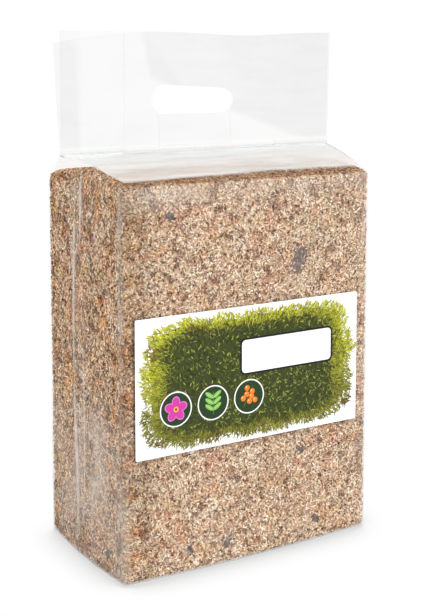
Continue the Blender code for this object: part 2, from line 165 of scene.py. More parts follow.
# Folds pinched in the film: face, width, crest, haze, and places along it. Their haze
#  and paleness are painted highlight, the light along each ridge
FOLDS = (
    ("left", 0.0048, 0.0006, 0.72,
     ((-0.0060, 0.3275), (-0.0020, 0.3250), (0.0010, 0.3200), (0.0024, 0.3000), (0.0036, 0.2740))),
    ("left", 0.0064, 0.0006, 0.58,
     ((0.0128, 0.314), (0.0150, 0.278), (0.0168, 0.244), (0.0185, 0.190), (0.0172, 0.150))),
    ("left", 0.0092, 0.0007, 0.58,
     ((0.0172, 0.158), (0.0170, 0.128), (0.0146, 0.095),
      (0.0125, 0.072), (0.0105, 0.050), (0.0080, 0.014))),
    ("left", 0.0042, 0.0005, 0.50,
     ((-0.0006, 0.192), (-0.0012, 0.150), (-0.0014, 0.100), (-0.0013, 0.060), (-0.0004, 0.020))),
    ("front", 0.0030, 0.0006, 0.34,
     ((-0.0934, 0.044), (-0.0821, 0.0344), (-0.0707, 0.0247), (-0.0600, 0.0151))),
    ("front", 0.0012, 0.0005, 0.26, ((0.020, 0.322), (0.060, 0.3195), (0.100, 0.321))),
    ("front", 0.0012, 0.0005, 0.30, ((-0.116, 0.318), (-0.090, 0.3215), (-0.050, 0.3195))),
)
# A fold's section: the place across its width, and the shares of its crest and of its
#  haze, which is painted highlight
FOLD_SECTION = ((-0.5, 0.0, 0.15), (-0.18, 0.8, 1.0), (0.18, 1.0, 1.0), (0.5, 0.0, 0.15))
FOLD_LIFT = 0.0003
# How pale the folds' painted highlight is
FOLD_HIGHLIGHT_MILK = 0.60
FOLD_STEPS = 12

# The label, as in the CAD
LABEL_WIDTH = 0.222
LABEL_HEIGHT = 0.1165
LABEL_X = -0.0025
LABEL_Z = 0.165
LABEL_THICKNESS = 0.0004
LABEL_GAP = 0.0006
LABEL_CORNER = 0.0015

# The label's print: a field of leaves with a ragged rim, on white
FIELD_HALF_WIDTH = 0.1120
FIELD_HALF_HEIGHT = 0.0570
FIELD_SQUARENESS = 6.0
FIELD_EDGE = 0.90
LEAVES = 8500
RIM_SHARE = 0.45
RIM_BAND = (0.80, 0.985)
LEAF_LENGTHS = (0.0028, 0.0048)
LEAF_WIDTHS = (0.0007, 0.0012)
# Inks. The rim's leaves have one at the foot of the field and one at its top
WHITE = (0.90, 0.90, 0.89)
NEAR_BLACK = (0.012, 0.016, 0.010)
FIELD_INK = (0.040, 0.052, 0.014)
LEAF_DARK = np.array([0.050, 0.062, 0.012])
LEAF_GLINT = np.array([0.30, 0.33, 0.060])
RUSTY_RIM = np.array([[0.22, 0.15, 0.030], [0.34, 0.26, 0.030]])
GREEN_RIM = np.array([[0.30, 0.28, 0.040], [0.66, 0.66, 0.045]])
GLINT_SHARE = 0.22
# A leaf's outline: the shares of its length and its width, and how brightly it is lit
LEAF_SHAPE = np.array([
    (0.0, 0.0, 0.7), (0.35, 0.5, 1.05), (0.35, -0.5, 0.8),
    (0.72, 0.36, 1.1), (0.72, -0.36, 0.85), (1.0, 0.0, 1.2),
])
LEAF_FACES = ((0, 2, 1), (1, 2, 4), (1, 4, 3), (3, 4, 5))
# The white plaque's middle, and the half width, half height and corner of its black
# frame and of its face
PLAQUE = (0.036, 0.015)
PLAQUE_FRAME = (0.0480, 0.0160, 0.0050)
PLAQUE_FACE = (0.0462, 0.0142, 0.0036)
# The round pictures' middles, and their sizes on their white discs
PICTURES_X = (-0.074, -0.0385, -0.003)
PICTURES_Y = -0.020
DISC_RADIUS = 0.0150
PICTURE_RADIUS = 0.0139
PICTURE_INK = (0.020, 0.045, 0.016)
# How high the layers of ink lie on the card, from the lowest
FIELD_RAISED = 0.00004
LEAF_RAISED = 0.00008
LEAF_LAYERS = 0.00018
DISC_RAISED = 0.00032
FRAME_RAISED = 0.00034
PICTURE_RAISED = 0.00035
PLAQUE_RAISED = 0.00037
MOTIF_RAISED = (0.00038, 0.00040, 0.00042, 0.00044, 0.00046)

# The room's light on the bale, and the soft lights: name, strength, and the degrees
# that each is turned from the front, raised and spread
ROOM_LIGHT = 0.80
SUNS = (
    ("key_light", 2.05, 25, 48, 40),
    ("side_light", 0.6, -75, 35, 50),
)
FLOOR_SHADOW_REACH = 0.05

STRAIGHT_X = BALE_WIDTH - 2 * CORNER_RADIUS
STRAIGHT_Y = BALE_DEPTH - 2 * CORNER_RADIUS
CORNER_RUN = math.pi / 2 * CORNER_RADIUS
AROUND = 2 * (STRAIGHT_X + STRAIGHT_Y) + 4 * CORNER_RUN
FOOT_RUN = math.pi / 2 * FOOT_RADIUS
TOP_RUN = math.pi / 2 * TOP_RADIUS
UPRIGHT = BALE_HEIGHT - FOOT_RADIUS - TOP_RADIUS
BALE_MIDDLE = np.array([0, 0, FLOOR_TO_BALE + BALE_HEIGHT / 2])


def smooth(value, low, high):
    """0 below low, 1 above high, and a smooth rise between them."""
    share = np.clip((value - low) / (high - low), 0.0, 1.0)
    return share * share * (3 - 2 * share)


def near(value, middle, reach):
    """1 at the middle, falling off to nothing a few reaches away."""
    return np.exp(-(((value - middle) / reach) ** 2))


def wander(x, y, z=0.0):
    """Smooth noise from -1 to 1."""
    return noise.noise(Vector((x, y, z)))


# Materials


def put(tree, kind, inputs=None, **settings):
    """A node with its settings, and values or links on its inputs."""
    made = tree.nodes.new(kind)
    for name, value in settings.items():
        setattr(made, name, value)
    for name, value in (inputs or {}).items():
        socket = made.inputs[name]
        if isinstance(value, bpy.types.NodeSocket):
            tree.links.new(value, socket)
        else:
            socket.default_value = value
    return made


def mix(tree, share, first, second, blend="MIX"):
    inputs = {0: share, 6: first, 7: second}
    return put(tree, "ShaderNodeMix", inputs, data_type="RGBA", blend_type=blend).outputs[2]


def multiplied(tree, share, color, by):
    """A colour, with a share of it multiplied by another."""
    return mix(tree, share, color, mix(tree, 1.0, color, by, "MULTIPLY"))


def maths(tree, operation, first, second, third=0.0, clamp=False):
    inputs = {0: first, 1: second, 2: third}
    made = put(tree, "ShaderNodeMath", inputs, operation=operation, use_clamp=clamp)
    return made.outputs[0]


def ramp(tree, share, stops):
    """A colour ramp. Each stop is (place, colour)."""
    made = put(tree, "ShaderNodeValToRGB", {"Fac": share})
    elements = made.color_ramp.elements
    elements[0].position, elements[0].color = stops[0][0], (*stops[0][1], 1)
    elements[1].position, elements[1].color = stops[-1][0], (*stops[-1][1], 1)
    for place, color in stops[1:-1]:
        elements.new(place).color = (*color, 1)
    return made.outputs["Color"]


def map_range(tree, value, source, target):
    """Takes a value from one range to another, and holds it at the ends."""
    inputs = {"Value": value, "From Min": source[0], "From Max": source[1]}
    inputs |= {"To Min": target[0], "To Max": target[1]}
    return put(tree, "ShaderNodeMapRange", inputs).outputs["Result"]


def grey_ramp(tree, share, *stops):
    return ramp(tree, share, [(place, (level, level, level)) for place, level in stops])


def object_place(tree):
    return put(tree, "ShaderNodeTexCoord").outputs["Object"]


def attribute(tree, name, output="Fac"):
    return put(tree, "ShaderNodeAttribute", attribute_name=name).outputs[output]


def clouds(tree, place, scale, detail, roughness):
    inputs = {"Vector": place, "Scale": scale, "Detail": detail, "Roughness": roughness}
    return put(tree, "ShaderNodeTexNoise", inputs).outputs["Fac"]


def new_group(name, inputs, outputs):
    """An empty node group. inputs and outputs are (name, kind) and an input's value."""
    group = bpy.data.node_groups.new(name, "ShaderNodeTree")
    for label, kind, value in inputs:
        socket = group.interface.new_socket(label, in_out="INPUT", socket_type=kind)
        socket.default_value = value
    for label, kind in outputs:
        group.interface.new_socket(label, in_out="OUTPUT", socket_type=kind)
    return group, group.nodes.new("NodeGroupInput"), group.nodes.new("NodeGroupOutput")


def moss_tint_group():
    """Tints a colour by the bale's patches: rust, olive, straw, pinks and dark clumps.
    The first three are weak but at the left, where the pressed moss is also warmer. The
    front of the top edge is a deeper brown, and a strip of the front by the left corner
    is darker. Shade moves the scraps' own tones."""
    group, given, result = new_group(
        "moss_patches",
        [("Color", "NodeSocketColor", (0.5, 0.5, 0.5, 1)), ("Strength", "NodeSocketFloat", 1.0)],
        [("Color", "NodeSocketColor"), ("Shade", "NodeSocketFloat")],
    )
    place = object_place(group)
    axes = put(group, "ShaderNodeSeparateXYZ", {"Vector": place})
    strength = map_range(group, axes.outputs["X"], (-0.118, -0.098), (1.0, 0.38))
    strength = maths(group, "MULTIPLY", strength, given.outputs["Strength"])
    color = given.outputs["Color"]
    layers = (
        (62.0, (0.0, 0.0, 0.0), (0.50, 0.64), (0.94, 0.78, 0.60), 0.0),
        (52.0, (3.1, 0.7, 2.2), (0.55, 0.68), (0.66, 0.62, 0.50), 0.0),
        (70.0, (1.3, 5.2, 0.4), (0.52, 0.66), (1.12, 0.98, 0.70), 0.3),
        (38.0, (7.7, 2.9, 4.1), (0.48, 0.66), (1.03, 0.93, 0.92), 0.9),
        (105.0, (2.6, 6.4, 9.2), (0.54, 0.64), (0.92, 0.70, 0.62), 0.7),
        (115.0, (5.5, 8.1, 3.3), (0.57, 0.63), (0.52, 0.43, 0.43), 0.9),
        (210.0, (8.4, 1.9, 6.3), (0.60, 0.66), (0.50, 0.43, 0.42), 1.0),
    )
    for scale, shift, (low, high), tint, least in layers:
        moved = put(group, "ShaderNodeMapping", {"Vector": place, "Location": shift}).outputs[0]
        mask = grey_ramp(group, clouds(group, moved, scale, 3.0, 0.6), (low, 0.0), (high, 1.0))
        share = maths(group, "MULTIPLY", mask, maths(group, "MAXIMUM", strength, least), clamp=True)
        color = multiplied(group, share, color, (*tint, 1))
    at_top = map_range(group, axes.outputs["Z"], (0.3265, 0.3285), (0.0, 0.85))
    at_front = map_range(group, axes.outputs["Y"], (-0.060, -0.046), (1.0, 0.0))
    darker_top_edge = maths(group, "MULTIPLY", at_top, at_front)
    color = multiplied(group, darker_top_edge, color, (0.55, 0.40, 0.27, 1))
    at_left = maths(group, "MULTIPLY", strength, strength)
    color = multiplied(group, at_left, color, (1.05, 1.0, 0.93, 1))
    by_corner = map_range(group, axes.outputs["X"], (-0.104, -0.088), (1.0, 0.0))
    in_front = map_range(group, axes.outputs["Y"], (-0.066, -0.062), (1.0, 0.0))
    shaded = maths(group, "MULTIPLY", by_corner, in_front)
    color = multiplied(group, shaded, color, (0.78, 0.76, 0.74, 1))
    group.links.new(color, result.inputs["Color"])
    broad = maths(group, "SUBTRACT", clouds(group, place, 95.0, 4.0, 0.65), 0.5)
    broad = maths(group, "MULTIPLY", broad, maths(group, "MAXIMUM", strength, 0.6))
    clumps = maths(group, "SUBTRACT", clouds(group, place, 270.0, 2.0, 0.5), 0.5)
    group.links.new(maths(group, "MULTIPLY_ADD", clumps, 1.1, broad), result.inputs["Shade"])
    return group


def grain_group():
    """Fine grain, as a height and as a mask."""
    group, given, result = new_group(
        "fine_grain",
        [("Scale", "NodeSocketFloat", 500.0), ("Stretch", "NodeSocketVector", (1, 1, 1))],
        [("Height", "NodeSocketFloat"), ("Mask", "NodeSocketFloat")],
    )
    inputs = {0: object_place(group), 1: given.outputs["Stretch"]}
    stretched = put(group, "ShaderNodeVectorMath", inputs, operation="MULTIPLY").outputs[0]
    height = clouds(group, stretched, given.outputs["Scale"], 4.0, 0.65)
    group.links.new(height, result.inputs["Height"])
    group.links.new(grey_ramp(group, height, (0.35, 0.0), (0.65, 1.0)), result.inputs["Mask"])
    return group


def use_group(tree, group, **inputs):
    return put(tree, "ShaderNodeGroup", inputs, node_tree=group)


def new_material(name, roughness):
    """A material, its tree and its Principled BSDF."""
    material = bpy.data.materials.new(name)
    material.use_nodes = True
    shader = material.node_tree.nodes["Principled BSDF"]
    shader.inputs["Roughness"].default_value = roughness
    return material, material.node_tree, shader


def bump(tree, shader, height, strength, distance):
    inputs = {"Height": height, "Strength": strength, "Distance": distance}
    made = put(tree, "ShaderNodeBump", inputs)
    tree.links.new(made.outputs["Normal"], shader.inputs["Normal"])


patches = moss_tint_group()
grain = grain_group()


def felt_material():
    """The pressed felt that shows between the scraps: broken leaves in brown shade."""
    material, tree, shader = new_material("moss_felt", 0.95)
    place = object_place(tree)
    fibres = clouds(tree, place, 1300.0, 3.0, 0.7)
    wandering = put(tree, "ShaderNodeTexNoise", {"Vector": place, "Scale": 240.0}).outputs["Color"]
    bent = mix(tree, 0.012, place, wandering, "ADD")
    flakes = put(tree, "ShaderNodeTexVoronoi", {"Vector": bent, "Scale": 620.0})
    own = put(tree, "ShaderNodeSeparateColor", {"Color": flakes.outputs["Color"]}).outputs[0]
    level = maths(tree, "MULTIPLY_ADD", own, 0.45, maths(tree, "MULTIPLY", fibres, 0.75))
    stops = [
        (0.28, (0.085, 0.050, 0.029)),
        (0.44, (0.24, 0.150, 0.090)),
        (0.58, (0.48, 0.335, 0.220)),
        (0.78, (0.72, 0.545, 0.375)),
    ]
    tinted = use_group(tree, patches, Color=ramp(tree, level, stops))
    tree.links.new(tinted.outputs["Color"], shader.inputs["Base Color"])
    bump(tree, shader, level, 0.7, 0.0005)
    return material


def scrap_material():
    """Dried leaves and stems, each scrap in a tone of its own."""
    material, tree, shader = new_material("moss_scrap", 0.8)
    shader.inputs["Specular IOR Level"].default_value = 0.3
    cells = use_group(tree, grain, Scale=900.0)
    shade = use_group(tree, patches).outputs["Shade"]
    spread = maths(tree, "MULTIPLY_ADD", shade, 1.1, attribute(tree, "tone"))
    stops = [
        (0.00, (0.060, 0.038, 0.024)),
        (0.12, (0.19, 0.118, 0.070)),
        (0.27, (0.45, 0.310, 0.200)),
        (0.48, (0.72, 0.540, 0.375)),
        (0.74, (0.91, 0.745, 0.560)),
        (1.00, (0.97, 0.890, 0.760)),
    ]
    tone = ramp(tree, spread, stops)
    speckled = multiplied(tree, 0.22, tone, cells.outputs["Height"])
    tinted = use_group(tree, patches, Color=speckled)
    tree.links.new(tinted.outputs["Color"], shader.inputs["Base Color"])
    bump(tree, shader, cells.outputs["Height"], 0.5, 0.0003)
    return material


def bark_material():
    """Dark bark, its fibres upright."""
    material, tree, shader = new_material("dark_bark", 0.85)
    lines = use_group(tree, grain, Scale=520.0, Stretch=(1.0, 1.0, 0.4))
    stops = [
        (0.34, (0.065, 0.045, 0.040)),
        (0.52, (0.145, 0.105, 0.092)),
        (0.70, (0.29, 0.22, 0.19)),
    ]
    tree.links.new(ramp(tree, lines.outputs["Height"], stops), shader.inputs["Base Color"])
    bump(tree, shader, lines.outputs["Height"], 0.9, 0.0006)
    return material


def film_material():
    """Clear film. Its attribute for haze and highlight says how much it hides, and the one
    for milk and highlight how pale it is where it does; on the folds, the tent's ridge and
    the front left corner these two paint a highlight. Its shadows are light, because hazy
    film still lets light through."""
    material, tree, shader = new_material("clear_film", 0.16)
    streaks = use_group(tree, grain, Scale=60.0, Stretch=(0.25, 1.0, 1.3))
    uneven = maths(tree, "MULTIPLY_ADD", streaks.outputs["Mask"], 0.30, 0.85)
    veil = maths(tree, "MULTIPLY", attribute(tree, "haze_and_highlight"), uneven, clamp=True)
    edge = put(tree, "ShaderNodeLayerWeight", {"Blend": 0.06}).outputs["Fresnel"]
    alpha = maths(tree, "MULTIPLY_ADD", edge, 0.05, veil, clamp=True)
    rays = put(tree, "ShaderNodeLightPath").outputs
    passing = maths(tree, "MAXIMUM", rays["Is Shadow Ray"], rays["Is Diffuse Ray"])
    alpha = maths(tree, "MULTIPLY", alpha, maths(tree, "MULTIPLY_ADD", passing, -0.7, 1.0))
    tree.links.new(alpha, shader.inputs["Alpha"])
    stops = [(0.0, (0.16, 0.185, 0.17)), (0.5, (0.60, 0.53, 0.475)), (1.0, (0.635, 0.66, 0.665))]
    tree.links.new(ramp(tree, attribute(tree, "milk_and_highlight"), stops), shader.inputs["Base Color"])
    bump(tree, shader, streaks.outputs["Height"], 0.25, 0.0008)
    return material


def label_material():
    """Printed paper: its attribute ink is the colour, a little uneven as print is."""
    material, tree, shader = new_material("printed_label", 0.6)
    shader.inputs["Specular IOR Level"].default_value = 0.15
    paper = use_group(tree, grain, Scale=700.0)
    ink = attribute(tree, "ink", "Color")
    worn = multiplied(tree, 0.10, ink, paper.outputs["Mask"])
    tree.links.new(worn, shader.inputs["Base Color"])
    bump(tree, shader, paper.outputs["Height"], 0.12, 0.0002)
    return material


# Shapes


def deselect():
    bpy.ops.object.select_all(action="DESELECT")


def mesh_object(name, points, faces, material):
    mesh = bpy.data.meshes.new(name)
    mesh.from_pydata(points, [], faces)
    mesh.materials.append(material)
    made = bpy.data.objects.new(name, mesh)
    bpy.context.scene.collection.objects.link(made)
    return made


def places_of(obj):
    return np.array([vertex.co for vertex in obj.data.vertices])


def move_to(obj, points):
    obj.data.vertices.foreach_set("co", np.asarray(points, np.float32).ravel())
    obj.data.update()


def add_values(obj, name, values):
    made = obj.data.attributes.new(name, "FLOAT", "POINT")
    made.data.foreach_set("value", np.asarray(values, np.float32))


def add_colors(obj, name, colors):
    made = obj.data.attributes.new(name, "FLOAT_COLOR", "POINT")
    colors = np.column_stack([colors, np.ones(len(colors))])
    made.data.foreach_set("color", colors.astype(np.float32).ravel())


def choose(obj):
    """Selects one object alone, and makes it the active one."""
    deselect()
    obj.select_set(True)
    bpy.context.view_layer.objects.active = obj


def add_grid(name, columns, rows, size):
    deselect()
    bpy.ops.mesh.primitive_grid_add(x_subdivisions=columns, y_subdivisions=rows, size=size)
    grid = bpy.context.object
    grid.name = grid.data.name = name
    return grid


def apply_all(obj):
    choose(obj)
    for modifier in list(obj.modifiers):
        bpy.ops.object.modifier_apply(modifier=modifier.name)


def crown(y):
    return CROWN * (1 - ((y - CROWN_Y) / CROWN_REACH) ** 2)


def settle(points):
    """Where points of a plain rounded brick lie on the bale: a little wider at the foot,
    bulging there in the middle of each face, and lifted near the top by the crown."""
    height = points[..., 2] - FLOOR_TO_BALE
    flat = points[..., :2] * (1 + SLUMP / BALE_WIDTH * (1 - 2 * height / BALE_HEIGHT))[..., None]
    share = np.clip(1 - height / SPREAD_HEIGHT, 0, 1) ** 2
    x = np.clip(flat[..., 0] / (BALE_WIDTH / 2), -1, 1)
    y = np.clip(flat[..., 1] / (BALE_DEPTH / 2), -1, 1)
    push_x = flat[..., 0] + share * SIDE_SPREAD * x * (1 - y * y)
    push_y = flat[..., 1] + share * FRONT_SPREAD * y * (1 - x * x)
    lift = crown(push_y) * smooth(height / BALE_HEIGHT, CROWN_START, 1.0)
    return np.stack([push_x, push_y, points[..., 2] + lift], -1)


def on_face(face, across, height, raised):
    """Points over the bale's front, where across is x, or left side, where it is y."""
    across, height, raised = np.broadcast_arrays(across, height, raised)
    axis, half = (1, BALE_DEPTH / 2) if face == "front" else (0, BALE_WIDTH / 2)
    side = np.full(across.shape, -half)
    plain = (across, side, height) if face == "front" else (side, across, height)
    points = settle(np.stack(plain, -1))
    points[..., axis] -= raised
    return points


def select_edges(obj, chosen):
    """Selects the edges whose middle and direction chosen() accepts."""
    bpy.ops.mesh.select_all(action="DESELECT")
    bpy.ops.object.mode_set(mode="OBJECT")
    points = [vertex.co for vertex in obj.data.vertices]
    for edge in obj.data.edges:
        first, second = (points[n] for n in edge.vertices)
        edge.select = chosen((first + second) / 2, (second - first).normalized())
    bpy.ops.object.mode_set(mode="EDIT")
    bpy.ops.mesh.select_mode(type="EDGE")


def make_felt(material):
    """The bale's body, a plain rounded brick sunk a little below the scraps' crests."""
    deselect()
    size = np.array([BALE_WIDTH, BALE_DEPTH, BALE_HEIGHT]) - 2 * FELT_DEPTH
    bpy.ops.mesh.primitive_cube_add(size=1, location=BALE_MIDDLE)
    felt = bpy.context.object
    felt.name = felt.data.name = "moss_felt"
    felt.scale = size
    bpy.ops.object.transform_apply(location=True, rotation=True, scale=True)
    bpy.ops.object.mode_set(mode="EDIT")
    bpy.ops.mesh.select_mode(type="EDGE")
    top, foot = BALE_MIDDLE[2] + size[2] / 2 - HAIR, BALE_MIDDLE[2] - size[2] / 2 + HAIR
    rounds = (
        lambda at, along: abs(along.z) > 0.9,
        lambda at, along: at.z > top,
        lambda at, along: at.z < foot,
    )
    for chosen in rounds:
        select_edges(felt, chosen)
        bpy.ops.mesh.bevel(offset=FELT_ROUND, segments=3, affect="EDGES")
    bpy.ops.object.mode_set(mode="OBJECT")
    voxels = felt.modifiers.new("even_faces", "REMESH")
    voxels.mode = "VOXEL"
    voxels.voxel_size = FELT_PITCH
    apply_all(felt)
    points = places_of(felt)
    sites = points / FELT_LUMP_SIZE
    lumps = np.array([wander(*site) + 0.5 * wander(*(site * 2.3)) for site in sites])
    move_to(felt, points + unit(points - BALE_MIDDLE) * lumps[:, None] * FELT_LUMP)
    felt.data.materials.append(material)
    felt.data.shade_smooth()
    return felt


def model_scrap(length, width, bend, curl, twist, cup):
    """One scrap of moss: a strip pinched at both ends, bent in its plane and curled out
    of it. Returns its points and triangles."""
    strip = add_grid("scrap", 4, 1, 1)
    points = places_of(strip)
    along, across = points[:, 0] + 0.5, points[:, 1] * 2
    breadth = width / 2 * np.sin(math.pi * np.clip(along, 0.001, 0.999)) ** 0.6
    across_now = across * breadth
    x = (along - 0.5) * length
    y = across_now + bend * length * (along - 0.5) ** 2 * 4
    z = curl * length * (1 - (2 * along - 1) ** 2) + np.sin(twist * (along - 0.5)) * across_now
    z += cup * np.abs(across_now)
    move_to(strip, np.stack([x, y, z], 1))
    bpy.ops.object.mode_set(mode="EDIT")
    bpy.ops.mesh.select_all(action="SELECT")
    bpy.ops.mesh.remove_doubles(threshold=width * 0.05)
    bpy.ops.mesh.quads_convert_to_tris()
    bpy.ops.object.mode_set(mode="OBJECT")
    shape = places_of(strip)
    faces = np.array([tuple(polygon.vertices) for polygon in strip.data.polygons])
    bpy.data.objects.remove(strip)
    return shape, faces


def model_scraps():
    """The few scraps that are copied all over the bale: leaves, curls and stems."""
    return [
        model_scrap(0.0025, 0.00110, 0.10, 0.07, 0.5, 0.3),
        model_scrap(0.0029, 0.00100, -0.18, 0.06, -0.7, 0.3),
        model_scrap(0.0033, 0.00085, 0.22, 0.05, 0.9, 0.2),
        model_scrap(0.0020, 0.00125, -0.08, 0.09, 0.4, 0.4),
        model_scrap(0.0040, 0.00070, -0.14, 0.04, 1.2, 0.2),
        model_scrap(0.0090, 0.00065, 0.16, 0.02, 0.5, 0.1),
    ]


def triangles_of(obj):
    """Corner points, corner normals, areas and face normals of an object's triangles."""
    mesh = obj.data
    mesh.calc_loop_triangles()
    points = places_of(obj)
    normals = np.array([vertex.normal for vertex in mesh.vertices])
    corners = np.array([triangle.vertices for triangle in mesh.loop_triangles])
    where, facing = points[corners], normals[corners]
    cross = np.cross(where[:, 1] - where[:, 0], where[:, 2] - where[:, 0])
    areas = np.linalg.norm(cross, axis=1) / 2
    return where, facing, areas, cross / (2 * areas[:, None])


def unit(vectors):
    return vectors / np.linalg.norm(vectors, axis=1)[:, None]


def press_in(points):
    """Presses points in, softly, so that none stands above the plain brick's skin."""
    half = np.array([BALE_WIDTH, BALE_DEPTH, BALE_HEIGHT]) / 2 - CORNER_RADIUS
    offset = points - BALE_MIDDLE
    beyond = np.maximum(np.abs(offset) - half, 0)
    reach = np.maximum(np.linalg.norm(beyond, axis=1), NOTHING)
    over = np.maximum(reach - CORNER_RADIUS - LID + LID_SOFTNESS, 0)
    excess = over - LID_SOFTNESS * (1 - np.exp(-over / LID_SOFTNESS))
    return points - np.sign(offset) * beyond * (excess / reach)[:, None]


def scatter(triangles, chosen, density, rng):
    """Random spots on the chosen triangles, clear of the chips, and the normals there."""
    where, facing, areas, _ = triangles
    where, facing, areas = where[chosen], facing[chosen], areas[chosen]
    count = int(areas.sum() * density)
    picks = rng.choice(len(areas), count, p=areas / areas.sum())
    first, second = rng.random(count), rng.random(count)
    over = first + second > 1
    first[over], second[over] = 1 - first[over], 1 - second[over]
    shares = np.stack([1 - first - second, first, second], 1)[:, :, None]
    spots = (where[picks] * shares).sum(1)
    normals = unit((facing[picks] * shares).sum(1))
    kept = clear_of_chips(spots, rng)
    return spots[kept], normals[kept]


def lay_flat(normals, rng):
    """The axes of scraps that lie almost flat: each one's heading, side and normal."""
    count = len(normals)
    normals = unit(normals + rng.normal(0, SCRAP_TILT, (count, 3)))
    heading = unit(np.cross(normals, rng.normal(0, 1, (count, 3))))
    side = np.cross(normals, heading)
    roll = rng.normal(0, SCRAP_ROLL, count)[:, None]
    rolled = side * np.cos(roll) + normals * np.sin(roll)
    return np.stack([heading, rolled, normals * np.cos(roll) - side * np.sin(roll)], 1)


def strew_scraps(name, spots, normals, spread, shapes, material, rng):
    """Copies of the scraps at the given spots, in tones spread around the middle one."""
    count = len(spots)
    spots = spots + normals * rng.uniform(*SCRAP_LIFT, count)[:, None]
    axes = lay_flat(normals, rng)
    kinds = rng.integers(0, len(shapes) - 1, count)
    kinds[rng.random(count) < LONG_SHARE] = len(shapes) - 1
    axes *= rng.uniform(*SCRAP_SIZES, count)[:, None, None]
    middle = MIDDLE_TONE - EVEN_SPREAD * (spread - EVEN_SPREAD)
    tones = np.clip(rng.normal(middle, spread, count), 0, 1)
    tones[rng.random(count) < DARK_SHARE] *= DARK_TONE
    all_points, all_faces, all_tones, start = [], [], [], 0
    for kind, (shape, faces) in enumerate(shapes):
        mine = kinds == kind
        placed = spots[mine][:, None] + np.einsum("pi,nij->npj", shape, axes[mine])
        copies = int(mine.sum())
        offsets = start + np.arange(copies)[:, None, None] * len(shape)
        all_points.append(placed.reshape(-1, 3))
        all_faces.append((faces[None] + offsets).reshape(-1, 3))
        all_tones.append(np.repeat(tones[mine], len(shape)))
        start += copies * len(shape)
    points = settle(press_in(np.concatenate(all_points)))
    scraps = mesh_object(name, points, np.concatenate(all_faces), material)
    add_values(scraps, "tone", np.concatenate(all_tones))
    return scraps


def clear_of_chips(spots, rng):
    """Which spots keep off the bark chips. A few lie over a chip's edge all the same."""
    kept = np.ones(len(spots), bool)
    for face, across, height, length, breadth, turn in CHIPS:
        if face == "front":
            close = spots[:, 1] < -BALE_DEPTH / 2 + CORNER_RADIUS
            right = spots[:, 0] - across
        else:
            close = spots[:, 0] < -BALE_WIDTH / 2 + CORNER_RADIUS
            right = across - spots[:, 1]
        rise = spots[:, 2] - height
        along = (right * math.cos(turn) + rise * math.sin(turn)) / (length / 2)
        aside = (rise * math.cos(turn) - right * math.sin(turn)) / (breadth / 2)
        over = along**2 + aside**2 < CLEAR_OF_CHIP
        kept &= ~(close & over & (rng.random(len(spots)) < CLEARED_SHARE))
    return kept


def make_flake(name, chip, number, material):
    """A ragged flake of bark, thin at its rim, in its pocket in the moss."""
    face, across, height, length, breadth, turn = chip
    flake = add_grid(name, 26, 18, 2)
    points = places_of(flake)
    u = points[:, 0] * np.sqrt(1 - points[:, 1] ** 2 / 2)
    v = points[:, 1] * np.sqrt(1 - points[:, 0] ** 2 / 2)
    broad = [0.42 * wander(1.7 * a, 1.7 * b, number) for a, b in zip(u, v)]
    fine = [0.30 * wander(5 * a, 5 * b, number) for a, b in zip(u, v)]
    ragged = 1 + np.array(broad) + np.array(fine)
    relief = [wander(4 * a, 4 * b, number + 9) for a, b in zip(u, v)]
    z = CHIP_RELIEF * np.array(relief) - CHIP_DROOP * (u * u + v * v) ** 2
    half_length, half_breadth = CHIP_RAGGEDNESS * length / 2, CHIP_RAGGEDNESS * breadth / 2
    move_to(flake, np.stack([u * ragged * half_length, v * ragged * half_breadth, z], 1))
    wall = flake.modifiers.new("thickness", "SOLIDIFY")
    wall.thickness = CHIP_THICKNESS
    wall.offset = -1
    apply_all(flake)
    along, aside, out = places_of(flake).T
    right = along * math.cos(turn) - aside * math.sin(turn)
    rise = along * math.sin(turn) + aside * math.cos(turn)
    side = across + right if face == "front" else across - right
    move_to(flake, on_face(face, side, height + rise, out))
    flake.data.materials.append(material)
    flake.data.shade_smooth()
    return flake


def plan_point(run):
    """(x, y) and the outward direction on the plan outline, run metres on from the back
    left corner: down the left side, along the front, up the right side, along the back."""
    half_x, half_y = STRAIGHT_X / 2, STRAIGHT_Y / 2
    corners = ((-half_x, -half_y), (half_x, -half_y), (half_x, half_y), (-half_x, half_y))
    lengths = (STRAIGHT_Y, STRAIGHT_X, STRAIGHT_Y, STRAIGHT_X)
    run %= AROUND
    for side, (corner, length) in enumerate(zip(corners, lengths)):
        heading = math.pi + side * math.pi / 2
        if run <= length:
            out = Vector((math.cos(heading), math.sin(heading)))
            along = Vector((-out.y, out.x))
            return Vector(corner) + out * CORNER_RADIUS - along * (length - run), out
        run -= length
        if run <= CORNER_RUN:
            heading += run / CORNER_RADIUS
            out = Vector((math.cos(heading), math.sin(heading)))
            return Vector(corner) + out * CORNER_RADIUS, out
        run -= CORNER_RUN
    return plan_point(0.0)


def side_point(up):
    """(inset, height, share of the normal that is level, share that is upward) at a
    length up the side."""
    if up < FOOT_RUN:
        turn = up / FOOT_RADIUS
        inset = FOOT_RADIUS * (1 - math.sin(turn))
        return inset, FOOT_RADIUS * (1 - math.cos(turn)), math.sin(turn), -math.cos(turn)
    if up <= FOOT_RUN + UPRIGHT:
        return 0.0, FOOT_RADIUS + up - FOOT_RUN, 1.0, 0.0
    turn = (up - FOOT_RUN - UPRIGHT) / TOP_RADIUS
    inset = TOP_RADIUS * (1 - math.cos(turn))
    height = BALE_HEIGHT - TOP_RADIUS * (1 - math.sin(turn))
    return inset, height, math.cos(turn), math.sin(turn)


def skin_ring(runs, up):
    """Points round the bale at one height, each a slack film's height out of its skin."""
    inset, height, level, upward = side_point(up)
    plan = [plan_point(run) for run in runs]
    outs = np.array([tuple(out) for _, out in plan])
    flat = np.array([tuple(place) for place, _ in plan]) - outs * inset
    plain = np.column_stack([flat, np.full(len(runs), FLOOR_TO_BALE + height)])
    lean = np.column_stack([outs * level, np.full(len(runs), upward)])
    slack = [
        SLACK * wander(run * 40, up * 12) + FINE_SLACK * wander(run * 130, up * 50)
        for run in runs
    ]
    return settle(plain) + lean * (FILM_LIFT + np.array(slack))[:, None]


